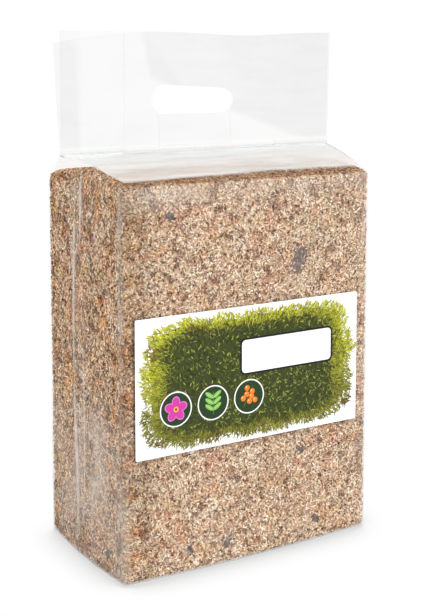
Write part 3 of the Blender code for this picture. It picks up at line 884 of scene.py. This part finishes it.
def film_runs():
    """Where the film's columns of points stand along the plan outline. A side has two
    columns close together at its middle, which are the lips of its gusset's crease."""
    runs, start = [], 0.0
    for length in (STRAIGHT_Y, STRAIGHT_X, STRAIGHT_Y, STRAIGHT_X):
        if length == STRAIGHT_X:
            runs += [start + length * i / FRONT_COLUMNS for i in range(FRONT_COLUMNS + 1)]
        else:
            reach = (length - LAYER_PITCH) / 2
            half = [reach * i / GUSSET_COLUMNS for i in range(GUSSET_COLUMNS + 1)]
            runs += [start + step for step in half]
            runs += [start + length - step for step in half[::-1]]
        start += length
        runs += [start + CORNER_RUN * i / CORNER_COLUMNS for i in range(1, CORNER_COLUMNS)]
        start += CORNER_RUN
    return runs


def flap_plan():
    """(x, layer) of the film's columns in the flap. Its front and back faces are layers
    -1.5 and 1.5, and the gusset's two faces between them are -0.5 and 0.5."""
    edge = FLAP_WIDTH / 2
    near_edge = edge - CORNER_RUN / 2
    fold = edge - GUSSET_DEPTH
    shares = [i / GUSSET_COLUMNS for i in range(GUSSET_COLUMNS + 1)]
    side = [near_edge + (fold - near_edge) * share for share in shares]
    front = [near_edge * (2 * i / FRONT_COLUMNS - 1) for i in range(FRONT_COLUMNS + 1)]
    turns = [GUSSET_LAYER + i / (CORNER_COLUMNS - 2) for i in range(CORNER_COLUMNS - 1)]
    plan = [(-x, GUSSET_LAYER) for x in side] + [(-x, -GUSSET_LAYER) for x in side[::-1]]
    plan += [(-edge, -turn) for turn in turns]
    plan += [(x, -FACE_LAYER) for x in front]
    plan += [(edge, -turn) for turn in turns[::-1]]
    plan += [(x, -GUSSET_LAYER) for x in side] + [(x, GUSSET_LAYER) for x in side[::-1]]
    plan += [(edge, turn) for turn in turns]
    plan += [(-x, FACE_LAYER) for x in front]
    plan += [(-edge, turn) for turn in turns[::-1]]
    return plan


def flap_point(x, layer, share):
    """A point of the flap's sheet, share of the way from its base to its top edge."""
    top = FLAP_TOP - FLAP_DIP * near(x, DIP_X, DIP_WIDTH)
    wave = FLAP_WAVE * share * math.sin(2 * math.pi * (x / WAVE_LENGTH + WAVE_START))
    if layer > 0:
        left_share = max(0.0, -x / (FLAP_WIDTH / 2)) ** SPREAD_POWER
        x -= BACK_SPREAD * left_share * share
        top -= 2 * BACK_SPREAD * left_share
    z = FLAP_BASE + (top - FLAP_BASE) * share
    return (FLAP_X + x, FLAP_Y + layer * LAYER_PITCH + wave, z)


def slot_reach(x, z):
    """How far a point of the flap lies outside the hand slot, and the nearest point on
    the slot's outline."""
    half, radius = SLOT_WIDTH / 2, SLOT_HEIGHT / 2
    x, z = x - SLOT_X, z - SLOT_Z
    squeeze = 1 - SLOT_LEAN * x / (half * radius) if z > 0 else 1.0
    z /= squeeze
    straight = max(-(half - radius), min(half - radius, x))
    distance = math.hypot(x - straight, z)
    if distance < NOTHING:
        return -radius, (x, z)
    grown = radius / distance
    on_x, on_z = straight + (x - straight) * grown, z * grown
    return distance - radius, (SLOT_X + on_x, SLOT_Z + on_z * squeeze)


def wrap_veil(point):
    """How hazy and how pale the film is on the bale's sides: it is haziest where it is
    drawn or folded, below the front's top edge, low on the left side, at the gussets'
    creases and along the floor. Round the front left corner its haze is a painted highlight."""
    x, y, z = point
    front = smooth(-y, BALE_DEPTH / 2 - 0.006, BALE_DEPTH / 2)
    left = smooth(-x, BALE_WIDTH / 2 - 0.006, BALE_WIDTH / 2)
    right = smooth(x, BALE_WIDTH / 2 - 0.006, BALE_WIDTH / 2)
    uneven = 0.8 + 0.7 * wander(x * 60, y * 60, z * 40)
    haze_and_highlight = 0.01 + 0.05 * smooth(wander(x * 22, y * 22, z * 14), 0.1, 0.7)
    # Below the front's top edge, most of all near its left end
    below_edge = smooth(z, 0.303, 0.322) * (1 - smooth(z, 0.3255, 0.3285))
    haze_and_highlight += front * below_edge * uneven * (0.14 + 0.14 * near(x, -0.085, 0.035))
    haze_and_highlight += front * smooth(x, 0.106, 0.120) * uneven * 0.18
    # Painted highlight: a pale band round the front left corner, in its upper part
    corner = near(math.hypot(x + 0.1232, y + 0.0672), 0.0, 0.0033)
    haze_and_highlight += 0.36 * corner * uneven * (0.12 + 0.88 * smooth(z, 0.12, 0.25))
    # A pale patch low on the left side, in a broader veil
    haze_and_highlight += 0.30 * left * near(y, -0.026, 0.015) * near(z, 0.095, 0.050) * (uneven + 0.1)
    haze_and_highlight += 0.22 * left * (1 - smooth(z, 0.05, 0.17)) * uneven
    # At the sides' gussets, and where the film turns under
    haze_and_highlight += 0.14 * (left + right) * near(y, 0.008, 0.012) * uneven
    haze_and_highlight += 0.22 * (1 - smooth(z, 0.0012, 0.0030))
    return haze_and_highlight, 0.56


def flap_veil(x, layer, z):
    """How hazy and how pale the film is on the flap: clearer at its left and below the
    lower crease, with a greyer wedge by the slot, and pale where it leaves the tent."""
    # The wedge, between an upright and a slanting line, and the crease under it
    below_top = FLAP_TOP - z
    upright = smooth(x + 0.058 - 0.18 * below_top, -0.002, 0.002)
    slanting = smooth(x + 0.056 - 0.80 * below_top, -0.003, 0.003)
    lower = smooth(z - (0.378 - (x - 0.036) * 0.36), -0.003, 0.003)
    haze_and_highlight = 0.034 + lower * (0.050 * upright - 0.016 * slanting + 0.014 * smooth(x, 0.0, 0.05))
    haze_and_highlight += 0.014 * smooth(wander(x * 30, layer, z * 30), 0.0, 0.7)
    # Over the gusset the film is doubled, so each of its layers has a share of the haze
    fold = FLAP_WIDTH / 2 - GUSSET_DEPTH
    doubled = smooth(abs(x), fold, fold + 0.03)
    haze_and_highlight *= 0.55 * doubled if abs(layer) < 1 else 1 - 0.45 * doubled
    haze_and_highlight *= 1 + 1.1 * smooth(-x, 0.1165, 0.1195)
    joined = 1 - smooth(z, FLAP_BASE, FLAP_BASE + 0.0035)
    return haze_and_highlight + 0.62 * joined, 1 - smooth(z, FLAP_BASE + 0.002, FLAP_BASE + 0.010)


def tent_veil(point, layer, share):
    """How hazy and how pale the film is between the bale's top edge and the flap's base:
    it is bunched and streaked there, and hides the moss a little way in from the edge.
    The gussets, which hang between its faces, are clear. A paler band along its ridge is painted
    highlight."""
    x, y, _ = point
    if abs(layer) < 1:
        return 0.04, 0.9
    streak = wander(x * 8, y * 170, 3) + 0.5 * wander(x * 20, y * 420, 8)
    edge = 0.022 + 0.052 * smooth(x, -0.11, 0.03) + 0.016 * wander(x * 25, 5.0)
    corner = smooth(-x, 0.103, 0.118)
    drawn = smooth(share, edge - 0.015, edge + 0.03)
    drawn += (1 - drawn) * corner
    # A paler band along the tent's ridge: painted highlight
    ridge_highlight = near(share, edge + 0.06, 0.035)
    haze_and_highlight = 0.05 + 0.66 * drawn + 0.24 * smooth(share, 0.18, 0.45)
    haze_and_highlight += 0.12 * streak * drawn + 0.14 * ridge_highlight
    # It is clear at its left end, where the moss shows through
    at_end = smooth(-x, 0.1205, 0.1245) if y < FLAP_Y else smooth(-x, 0.070, 0.084)
    haze_and_highlight += (0.05 - haze_and_highlight) * at_end
    return haze_and_highlight, 0.56 + 0.42 * share + 0.26 * ridge_highlight + 0.16 * streak * (1 - share)


def film_rings():
    """The film's surface as rings of points from the floor to the flap's top, with each
    point's haze and milk."""
    runs = film_runs()
    curve = [i / CURVE_ROWS for i in range(CURVE_ROWS + 1)]
    ups = [FOOT_RUN * share for share in curve]
    ups += [FOOT_RUN + UPRIGHT * i / UPRIGHT_ROWS for i in range(1, UPRIGHT_ROWS)]
    ups += [FOOT_RUN + UPRIGHT + TOP_RUN * share for share in curve]
    rings = [skin_ring(runs, up) for up in ups]
    veils = [[wrap_veil(point) for point in ring] for ring in rings]
    plan = flap_plan()
    shoulder = rings[-1]
    base = np.array([flap_point(x, layer, 0.0) for x, layer in plan])
    for i in range(1, TENT_ROWS):
        share = (i / TENT_ROWS) ** TENT_CROWDING
        ring = shoulder + (base - shoulder) * share
        pleats = [wander(x * 9, y * 150, 7) + 0.6 * wander(x * 16, y * 330, 2) for x, y, _ in ring]
        rise = TENT_BULGE + PLEAT_HEIGHT * np.array(pleats)
        ring[:, 2] += math.sin(math.pi * share) * rise
        rings.append(ring)
        veils.append([tent_veil(point, layer, share) for point, (_, layer) in zip(ring, plan)])
    for i in range(FLAP_ROWS + 1):
        ring = np.array([flap_point(x, layer, i / FLAP_ROWS) for x, layer in plan])
        rings.append(ring)
        veils.append([flap_veil(x, layer, z) for (x, layer), z in zip(plan, ring[:, 2])])
    return np.array(rings), np.array(veils)


def make_film(material):
    """The bag: one sheet of film round the bale, closed over it and standing up as a
    flap with a hand slot cut through its faces."""
    rings, veils = film_rings()
    columns = len(rings[0])
    points, veils = rings.reshape(-1, 3).tolist(), veils.reshape(-1, 2).tolist()
    flap_start = (len(rings) - FLAP_ROWS - 1) * columns
    faced = {i for i, (_, layer) in enumerate(flap_plan()) if abs(layer) == FACE_LAYER}
    sides = [1] * len(points)
    for n in range(flap_start, len(points)):
        if n % columns in faced:
            x, y, z = points[n]
            reach, nearest = slot_reach(x, z)
            if abs(reach) < SLOT_SNAP:
                points[n] = [nearest[0], y, nearest[1]]
                sides[n] = 0
            elif reach < 0:
                sides[n] = -1
    faces = [tuple(range(columns))[::-1]]
    for level in range(len(rings) - 1):
        for i in range(columns):
            j = (i + 1) % columns
            low, high = level * columns, (level + 1) * columns
            faces += kept_faces((low + i, low + j, high + j, high + i), sides)
    hang_tongue(points, veils, faces)
    return film_object("bag_film_sheet", points, faces, veils, material)


def film_object(name, points, faces, veils, material):
    film = mesh_object(name, points, faces, material)
    add_values(film, "haze_and_highlight", [haze_and_highlight for haze_and_highlight, _ in veils])
    add_values(film, "milk_and_highlight", [milk_and_highlight for _, milk_and_highlight in veils])
    drop_loose(film)
    film.data.shade_smooth()
    return film


def kept_faces(face, sides):
    """What is left of a face of the flap once the hand slot is cut out of it."""
    signs = [sides[n] for n in face]
    if min(signs) >= 0:
        return [face] if max(signs) > 0 else []
    if max(signs) <= 0:
        return []
    return [
        (face[i - 1], face[i], face[(i + 1) % 4])
        for i in range(4)
        if signs[i] > 0 and signs[i - 1] == 0 and signs[(i + 1) % 4] == 0
    ]


def hang_tongue(points, veils, faces):
    """Adds the flap of film that was the slot, hanging from the slot's lower edge."""
    columns, rows = TONGUE_COLUMNS, TONGUE_ROWS
    first = len(points)
    hinge = SLOT_Z - SLOT_HEIGHT / 2
    for row in range(rows + 1):
        down = row / rows
        for i in range(columns + 1):
            x = SLOT_X - FLAP_X + TONGUE_WIDTH * (i / columns - 0.5)
            z = hinge - TONGUE_LENGTH * down
            layer = -FACE_LAYER - TONGUE_FORWARD * smooth(down, 0.0, 0.15)
            layer -= TONGUE_CURL * down * wander(x * 40, z * 30)
            points.append(flap_point(x, layer, (z - FLAP_BASE) / (FLAP_TOP - FLAP_BASE)))
            veils.append((0.07 if i in (0, columns) or row == rows else 0.012, 0.1))
    for row in range(rows):
        for i in range(columns):
            n = first + row * (columns + 1) + i
            faces.append((n, n + columns + 1, n + columns + 2, n + 1))


def drop_loose(obj):
    """Removes points that no face uses."""
    choose(obj)
    bpy.ops.object.mode_set(mode="EDIT")
    bpy.ops.mesh.select_all(action="SELECT")
    bpy.ops.mesh.delete_loose()
    bpy.ops.object.mode_set(mode="OBJECT")


def smooth_path(places):
    """A fair curve near the given places: their corners are cut twice."""
    path = np.array(places)
    for _ in range(2):
        starts, ends = path[:-1], path[1:]
        cut = np.stack([0.75 * starts + 0.25 * ends, 0.25 * starts + 0.75 * ends], 1).reshape(-1, 2)
        path = np.concatenate([path[:1], cut, path[-1:]])
    lengths = np.linalg.norm(np.diff(path, axis=0), axis=1)
    at = np.concatenate([[0], np.cumsum(lengths)])
    evenly = np.linspace(0, at[-1], FOLD_STEPS * len(places))
    return np.stack([np.interp(evenly, at, path[:, axis]) for axis in (0, 1)], 1)


def make_folds(material):
    """The narrow ridges where the film is pinched, each a strip with a raised crest and a painted
    highlight of pale haze along it.
    """
    points, faces, veils = [], [], []
    for number, (face, width, crest, haze_and_highlight, places) in enumerate(FOLDS):
        path = smooth_path(places)
        heading = unit(np.gradient(path, axis=0))
        aside = np.column_stack([-heading[:, 1], heading[:, 0]])
        along = np.linspace(0, 1, len(path))
        taper = np.sin(math.pi * np.clip(along, 0.02, 0.98)) ** 0.4
        first = len(points)
        for i, (place, across, share) in enumerate(zip(path, aside, taper)):
            thick = share * (0.85 + 0.5 * wander(i * 0.21, number))
            for offset, rise, veil in FOLD_SECTION:
                spot = place + across * offset * width * thick
                raised = FILM_LIFT + FOLD_LIFT + crest * rise * thick
                points.append(on_face(face, spot[0], spot[1], raised).tolist())
                # The fold's haze and paleness paint the highlight along its ridge
                veils.append((haze_and_highlight * veil * share, FOLD_HIGHLIGHT_MILK))
        count = len(FOLD_SECTION)
        for i in range(len(path) - 1):
            for j in range(count - 1):
                n = first + i * count + j
                faces.append((n, n + 1, n + count + 1, n + count))
    return film_object("bag_film_folds", points, faces, veils, material)


# The label


class Print:
    """Flat shapes of ink, laid over one another on the label's face."""

    def __init__(self):
        self.points, self.faces, self.inks, self.count = [], [], [], 0

    def add(self, places, faces, raised, inks):
        """places are (across, up) from the label's middle."""
        places = np.asarray(places)
        height = FLOOR_TO_BALE + LABEL_GAP + LABEL_THICKNESS + raised
        self.points.append(on_face("front", LABEL_X + places[:, 0], LABEL_Z + places[:, 1], height))
        self.faces += [tuple(int(n) + self.count for n in face) for face in faces]
        self.inks.append(np.broadcast_to(inks, (len(places), 3)))
        self.count += len(places)

    def shape(self, outline, raised, ink):
        """A star-shaped patch, as a fan of triangles about its middle."""
        outline = np.asarray(outline)
        places = np.concatenate([[outline.mean(0)], outline])
        count = len(outline)
        self.add(places, [(0, 1 + i, 1 + (i + 1) % count) for i in range(count)], raised, ink)

    def oval(self, middle, half_long, half_wide, raised, ink, turn=0.0, steps=28):
        self.shape(ellipse(middle, half_long, half_wide, turn, steps), raised, ink)

    def finish(self, name, material):
        made = mesh_object(name, np.concatenate(self.points), self.faces, material)
        add_colors(made, "ink", np.concatenate(self.inks))
        return made


def ellipse(middle, half_long, half_wide, turn, steps):
    angles = np.linspace(0, 2 * math.pi, steps, endpoint=False)
    along, aside = half_long * np.cos(angles), half_wide * np.sin(angles)
    x = middle[0] + along * math.cos(turn) - aside * math.sin(turn)
    y = middle[1] + along * math.sin(turn) + aside * math.cos(turn)
    return np.stack([x, y], 1)


def rounded(middle, half_width, half_height, radius):
    """A rectangle with round corners."""
    outline = []
    for quarter, (side, rise) in enumerate(((1, 1), (-1, 1), (-1, -1), (1, -1))):
        for i in range(7):
            angle = math.pi / 2 * (quarter + i / 6)
            x = middle[0] + side * (half_width - radius) + radius * math.cos(angle)
            y = middle[1] + rise * (half_height - radius) + radius * math.sin(angle)
            outline.append((x, y))
    return outline


def field_reach(x, y):
    """How far out a place lies in the printed field, whose rim wanders: 1 is its rim."""
    across, up = abs(x) / FIELD_HALF_WIDTH, abs(y) / FIELD_HALF_HEIGHT
    plain = (across**FIELD_SQUARENESS + up**FIELD_SQUARENESS) ** (1 / FIELD_SQUARENESS)
    ragged = 0.95 + 0.055 * wander(x * 55, y * 55) + 0.035 * wander(x * 150, y * 150)
    return plain / ragged


def leaf_ink(x, y, rim, rng):
    """A leaf's colour: dark, or now and then glinting, in the middle of the field, and
    yellow green or rusty towards its rim."""
    tint = rng.random()
    low, high = RUSTY_RIM if wander(x * 38, y * 38, 4.0) > 0.28 else GREEN_RIM
    bright = (low + (high - low) * float(smooth(y, -0.035, 0.020))) * (0.35 + 0.9 * tint)
    glints = rng.random() < GLINT_SHARE
    inner = LEAF_GLINT * (0.5 + 0.7 * tint) if glints else LEAF_DARK * (0.25 + 1.6 * tint)
    return inner + (bright - inner) * rim * (0.45 + 0.55 * rng.random())


def print_leaves(page, rng):
    """The leaf print: thousands of small lance leaves, which point outwards at the
    field's rim."""
    half = np.array([FIELD_HALF_WIDTH, FIELD_HALF_HEIGHT]) * 1.05
    spots = []
    while len(spots) < LEAVES:
        spot = rng.uniform(-half, half)
        reach = field_reach(*spot)
        at_rim = RIM_BAND[0] < reach < RIM_BAND[1]
        wanted = at_rim if len(spots) < LEAVES * RIM_SHARE else reach < FIELD_EDGE
        if wanted:
            spots.append((*spot, reach))
    for x, y, reach in spots[::-1]:
        rim = float(smooth(reach, 0.66, 0.97))
        outward = math.atan2(y / FIELD_HALF_HEIGHT, x / FIELD_HALF_WIDTH)
        heading = outward + rng.normal(0, 0.6) if rim > 0.3 else rng.uniform(0, 2 * math.pi)
        length = rng.uniform(*LEAF_LENGTHS) * (1 + 0.9 * rim * rng.random())
        width = rng.uniform(*LEAF_WIDTHS)
        ink = leaf_ink(x, y, rim, rng)
        bend = rng.normal(0, 0.12)
        forward = (LEAF_SHAPE[:, 0] - 0.45) * length
        across = LEAF_SHAPE[:, 1] * width + bend * length * LEAF_SHAPE[:, 0] ** 2
        places = np.column_stack([
            x + forward * math.cos(heading) - across * math.sin(heading),
            y + forward * math.sin(heading) + across * math.cos(heading),
        ])
        inks = np.clip(ink * LEAF_SHAPE[:, 2:], 0, 1)
        page.add(places, LEAF_FACES, LEAF_RAISED + LEAF_LAYERS * rng.random(), inks)


def print_flower(page, middle):
    x, y = middle
    for layer, (size, ink) in enumerate(((1.0, (0.62, 0.20, 0.50)), (0.82, (0.56, 0.045, 0.33)))):
        for i in range(5):
            turn = math.pi / 2 + 2 * math.pi * i / 5
            spot = (x + 0.0056 * math.cos(turn), y + 0.0056 * math.sin(turn))
            raised = MOTIF_RAISED[0] + 0.00002 * layer + 0.000004 * i
            page.oval(spot, 0.0054 * size, 0.0040 * size, raised, ink, turn)
    page.oval(middle, 0.0024, 0.0024, MOTIF_RAISED[3], (0.75, 0.42, 0.04))
    page.oval(middle, 0.0011, 0.0011, MOTIF_RAISED[4], (0.30, 0.05, 0.03))


def print_spray(page, middle):
    x, y = middle
    page.oval(middle, 0.0105, 0.0005, MOTIF_RAISED[0], (0.12, 0.22, 0.05), math.pi / 2)
    for i in range(3):
        for side in (-1, 1):
            turn = math.pi / 2 - side * 0.95
            root = y - 0.0062 + 0.0052 * i
            spot = (x + 0.0046 * math.cos(turn), root + 0.0046 * math.sin(turn))
            page.oval(spot, 0.0046, 0.0019, MOTIF_RAISED[1], (0.22, 0.48, 0.10), turn)
            page.oval(spot, 0.0040, 0.0002, MOTIF_RAISED[2], (0.50, 0.72, 0.30), turn)


def print_berries(page, middle):
    x, y = middle
    page.oval((x - 0.001, y), 0.0105, 0.0005, MOTIF_RAISED[0], (0.16, 0.10, 0.04), 1.1)
    for i in range(7):
        turn, reach, raised = 2.4 * i, 0.0024 + 0.0009 * i, MOTIF_RAISED[1] + 0.00001 * i
        spot = (x + reach * math.cos(turn), y + reach * math.sin(turn))
        glint = (spot[0] - 0.0008, spot[1] + 0.0008)
        page.oval(spot, 0.0025, 0.0025, raised, (0.80, 0.20, 0.02))
        page.oval(glint, 0.0007, 0.0007, raised + 0.00001, (0.95, 0.62, 0.35), steps=10)


def print_pictures(page):
    """Three round pictures with white rims: a flower, a spray of leaves and berries."""
    for x, motif in zip(PICTURES_X, (print_flower, print_spray, print_berries)):
        middle = (x, PICTURES_Y)
        page.oval(middle, DISC_RADIUS, DISC_RADIUS, DISC_RAISED, WHITE, steps=48)
        page.oval(middle, PICTURE_RADIUS, PICTURE_RADIUS, PICTURE_RAISED, PICTURE_INK, steps=48)
        motif(page, middle)


def make_card(material):
    """The label's white card, with rounded corners, laid on the film."""
    card = add_grid("bag_label_card", 48, 26, 1)
    card.scale = (LABEL_WIDTH, LABEL_HEIGHT, 1)
    bpy.ops.object.transform_apply(location=False, rotation=False, scale=True)
    bpy.ops.object.mode_set(mode="EDIT")
    bpy.ops.mesh.select_all(action="DESELECT")
    bpy.ops.mesh.select_mode(type="VERT")
    bpy.ops.object.mode_set(mode="OBJECT")
    for vertex in card.data.vertices:
        at_side = abs(vertex.co.x) > LABEL_WIDTH / 2 - HAIR
        vertex.select = at_side and abs(vertex.co.y) > LABEL_HEIGHT / 2 - HAIR
    bpy.ops.object.mode_set(mode="EDIT")
    bpy.ops.mesh.bevel(offset=LABEL_CORNER, segments=4, affect="VERTICES")
    bpy.ops.object.mode_set(mode="OBJECT")
    wall = card.modifiers.new("thickness", "SOLIDIFY")
    wall.thickness = LABEL_THICKNESS
    wall.offset = 1
    edges = card.modifiers.new("soft_edges", "BEVEL")
    edges.width = LABEL_THICKNESS / 4
    edges.segments = 2
    apply_all(card)
    x, y, out = places_of(card).T
    move_to(card, on_face("front", LABEL_X + x, LABEL_Z + y, FLOOR_TO_BALE + LABEL_GAP + out))
    card.data.materials.append(material)
    add_colors(card, "ink", np.broadcast_to(WHITE, (len(x), 3)))
    return card


def print_label(material, rng):
    """The print on the card: the field of leaves, the bare plaque and the pictures."""
    page = Print()
    rim = []
    for angle in np.linspace(0, 2 * math.pi, 240, endpoint=False):
        reach = 0.02
        while field_reach(reach * math.cos(angle), reach * math.sin(angle)) < FIELD_EDGE:
            reach += 0.0004
        rim.append((reach * math.cos(angle), reach * math.sin(angle)))
    page.shape(rim, FIELD_RAISED, FIELD_INK)
    print_leaves(page, rng)
    page.shape(rounded(PLAQUE, *PLAQUE_FRAME), FRAME_RAISED, NEAR_BLACK)
    page.shape(rounded(PLAQUE, *PLAQUE_FACE), PLAQUE_RAISED, WHITE)
    print_pictures(page)
    return page.finish("bag_label_print", material)


# The stage


def make_floor():
    """A white floor. The camera sees it as plain white with a soft shadow at the bale's
    foot, and everything else is lit by it as by any pale floor."""
    deselect()
    bpy.ops.mesh.primitive_plane_add(size=60, location=(0, 0, 0))
    floor = bpy.context.object
    floor.name = "floor"
    material, tree, shader = new_material("white_floor", 0.9)
    shader.inputs["Base Color"].default_value = (0.90, 0.90, 0.90, 1)
    shader.inputs["Specular IOR Level"].default_value = 0.0
    inputs = {"Distance": FLOOR_SHADOW_REACH}
    openness = put(tree, "ShaderNodeAmbientOcclusion", inputs).outputs["AO"]
    stops = [(0.50, (0.72, 0.715, 0.71)), (0.66, (0.90, 0.90, 0.895)), (0.84, (1.0, 1.0, 1.0))]
    glow = put(tree, "ShaderNodeEmission", {"Color": ramp(tree, openness, stops), "Strength": 1.0})
    seen = put(tree, "ShaderNodeLightPath").outputs["Is Camera Ray"]
    both = put(tree, "ShaderNodeMixShader", {0: seen, 1: shader.outputs[0], 2: glow.outputs[0]})
    output = tree.nodes["Material Output"]
    tree.links.new(both.outputs[0], output.inputs["Surface"])
    floor.data.materials.append(material)


def make_world():
    """A white room: the camera sees it brighter than it lights the bale."""
    world = bpy.data.worlds.new("studio")
    bpy.context.scene.world = world
    world.use_nodes = True
    tree = world.node_tree
    tree.nodes.clear()
    seen = put(tree, "ShaderNodeBackground", {"Color": (1, 1, 1, 1), "Strength": 1.0})
    lit = put(tree, "ShaderNodeBackground", {"Color": (1, 1, 1, 1), "Strength": ROOM_LIGHT})
    rays = put(tree, "ShaderNodeLightPath").outputs["Is Camera Ray"]
    both = put(tree, "ShaderNodeMixShader", {0: rays, 1: lit.outputs[0], 2: seen.outputs[0]})
    put(tree, "ShaderNodeOutputWorld", {"Surface": both.outputs[0]})


def direction(turn, rise):
    """From the bale towards a light or the camera, in radians: turn is 0 in front."""
    level = math.cos(rise)
    return Vector((math.sin(turn) * level, -math.cos(turn) * level, math.sin(rise)))


def make_sun(name, strength, turn, rise, spread):
    """A soft light from a direction, in degrees."""
    light = bpy.data.lights.new(name, "SUN")
    light.energy = strength
    light.angle = math.radians(spread)
    lamp = bpy.data.objects.new(name, light)
    bpy.context.scene.collection.objects.link(lamp)
    back = direction(math.radians(turn), math.radians(rise))
    lamp.rotation_euler = back.to_track_quat("Z", "Y").to_euler()


def make_camera():
    """The camera that took the photograph, with its axis above the picture's middle."""
    camera = bpy.data.objects.new("camera", bpy.data.cameras.new("camera"))
    bpy.context.scene.collection.objects.link(camera)
    back = direction(CAMERA_TURN, CAMERA_RISE)
    camera.location = CAMERA_TARGET + back * CAMERA_DISTANCE
    camera.rotation_euler = back.to_track_quat("Z", "Y").to_euler()
    camera.data.sensor_width = LONG_SENSOR
    camera.data.lens = FOCAL_PIXELS * LONG_SENSOR / PHOTO_HEIGHT
    camera.data.shift_y = -AXIS_ABOVE_MIDDLE / PHOTO_HEIGHT
    bpy.context.scene.camera = camera


def dress(piece, slot, *nodes):
    """A piece rides on the part's one body, and may stand for a node of the CAD."""
    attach(piece, "root")
    if nodes:
        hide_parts(*nodes)


def make_moss():
    """The bale: its felt, and scraps strewn over each side of it in turn."""
    rng = np.random.default_rng(SEED)
    felt = make_felt(felt_material())
    surface = triangles_of(felt)
    facing = surface[3]
    strongest = np.argmax(np.abs(facing), 1)
    shapes = model_scraps()
    material = scrap_material()
    # Each side's name, axis and sign, its share of the scraps, and how its tones spread
    sides = (
        ("front", 1, -1, 1.0, 0.26),
        ("back", 1, 1, 0.86, 0.26),
        ("left", 0, -1, 1.0, 0.42),
        ("right", 0, 1, 0.86, 0.28),
        ("top", 2, 1, 0.80, 0.26),
        ("foot", 2, -1, 0.40, 0.26),
    )
    for side, axis, sign, share, spread in sides:
        chosen = (strongest == axis) & (np.sign(facing[:, axis]) == sign)
        spots, normals = scatter(surface, chosen, SCRAP_DENSITY * share, rng)
        name = f"moss_scraps_{side}"
        dress(strew_scraps(name, spots, normals, spread, shapes, material, rng), "dried_moss")
    move_to(felt, settle(places_of(felt)))
    dress(felt, "dried_moss", "moss_block")


def main():
    make_moss()
    bark = bark_material()
    for number, chip in enumerate(CHIPS, 1):
        flake = make_flake(f"bark_flake_{number}", chip, number, bark)
        dress(flake, "dark_bark", f"bark_chip_{number}")
    clear = film_material()
    dress(make_film(clear), "clear_film", "bag_film")
    dress(make_folds(clear), "clear_film")
    paper = label_material()
    dress(make_card(paper), "printed_label", "bag_label")
    dress(print_label(paper, np.random.default_rng(SEED)), "printed_label")
    make_floor()
    make_world()
    for sun in SUNS:
        make_sun(*sun)
    bpy.context.scene.view_settings.view_transform = "Standard"
    make_camera()


main()
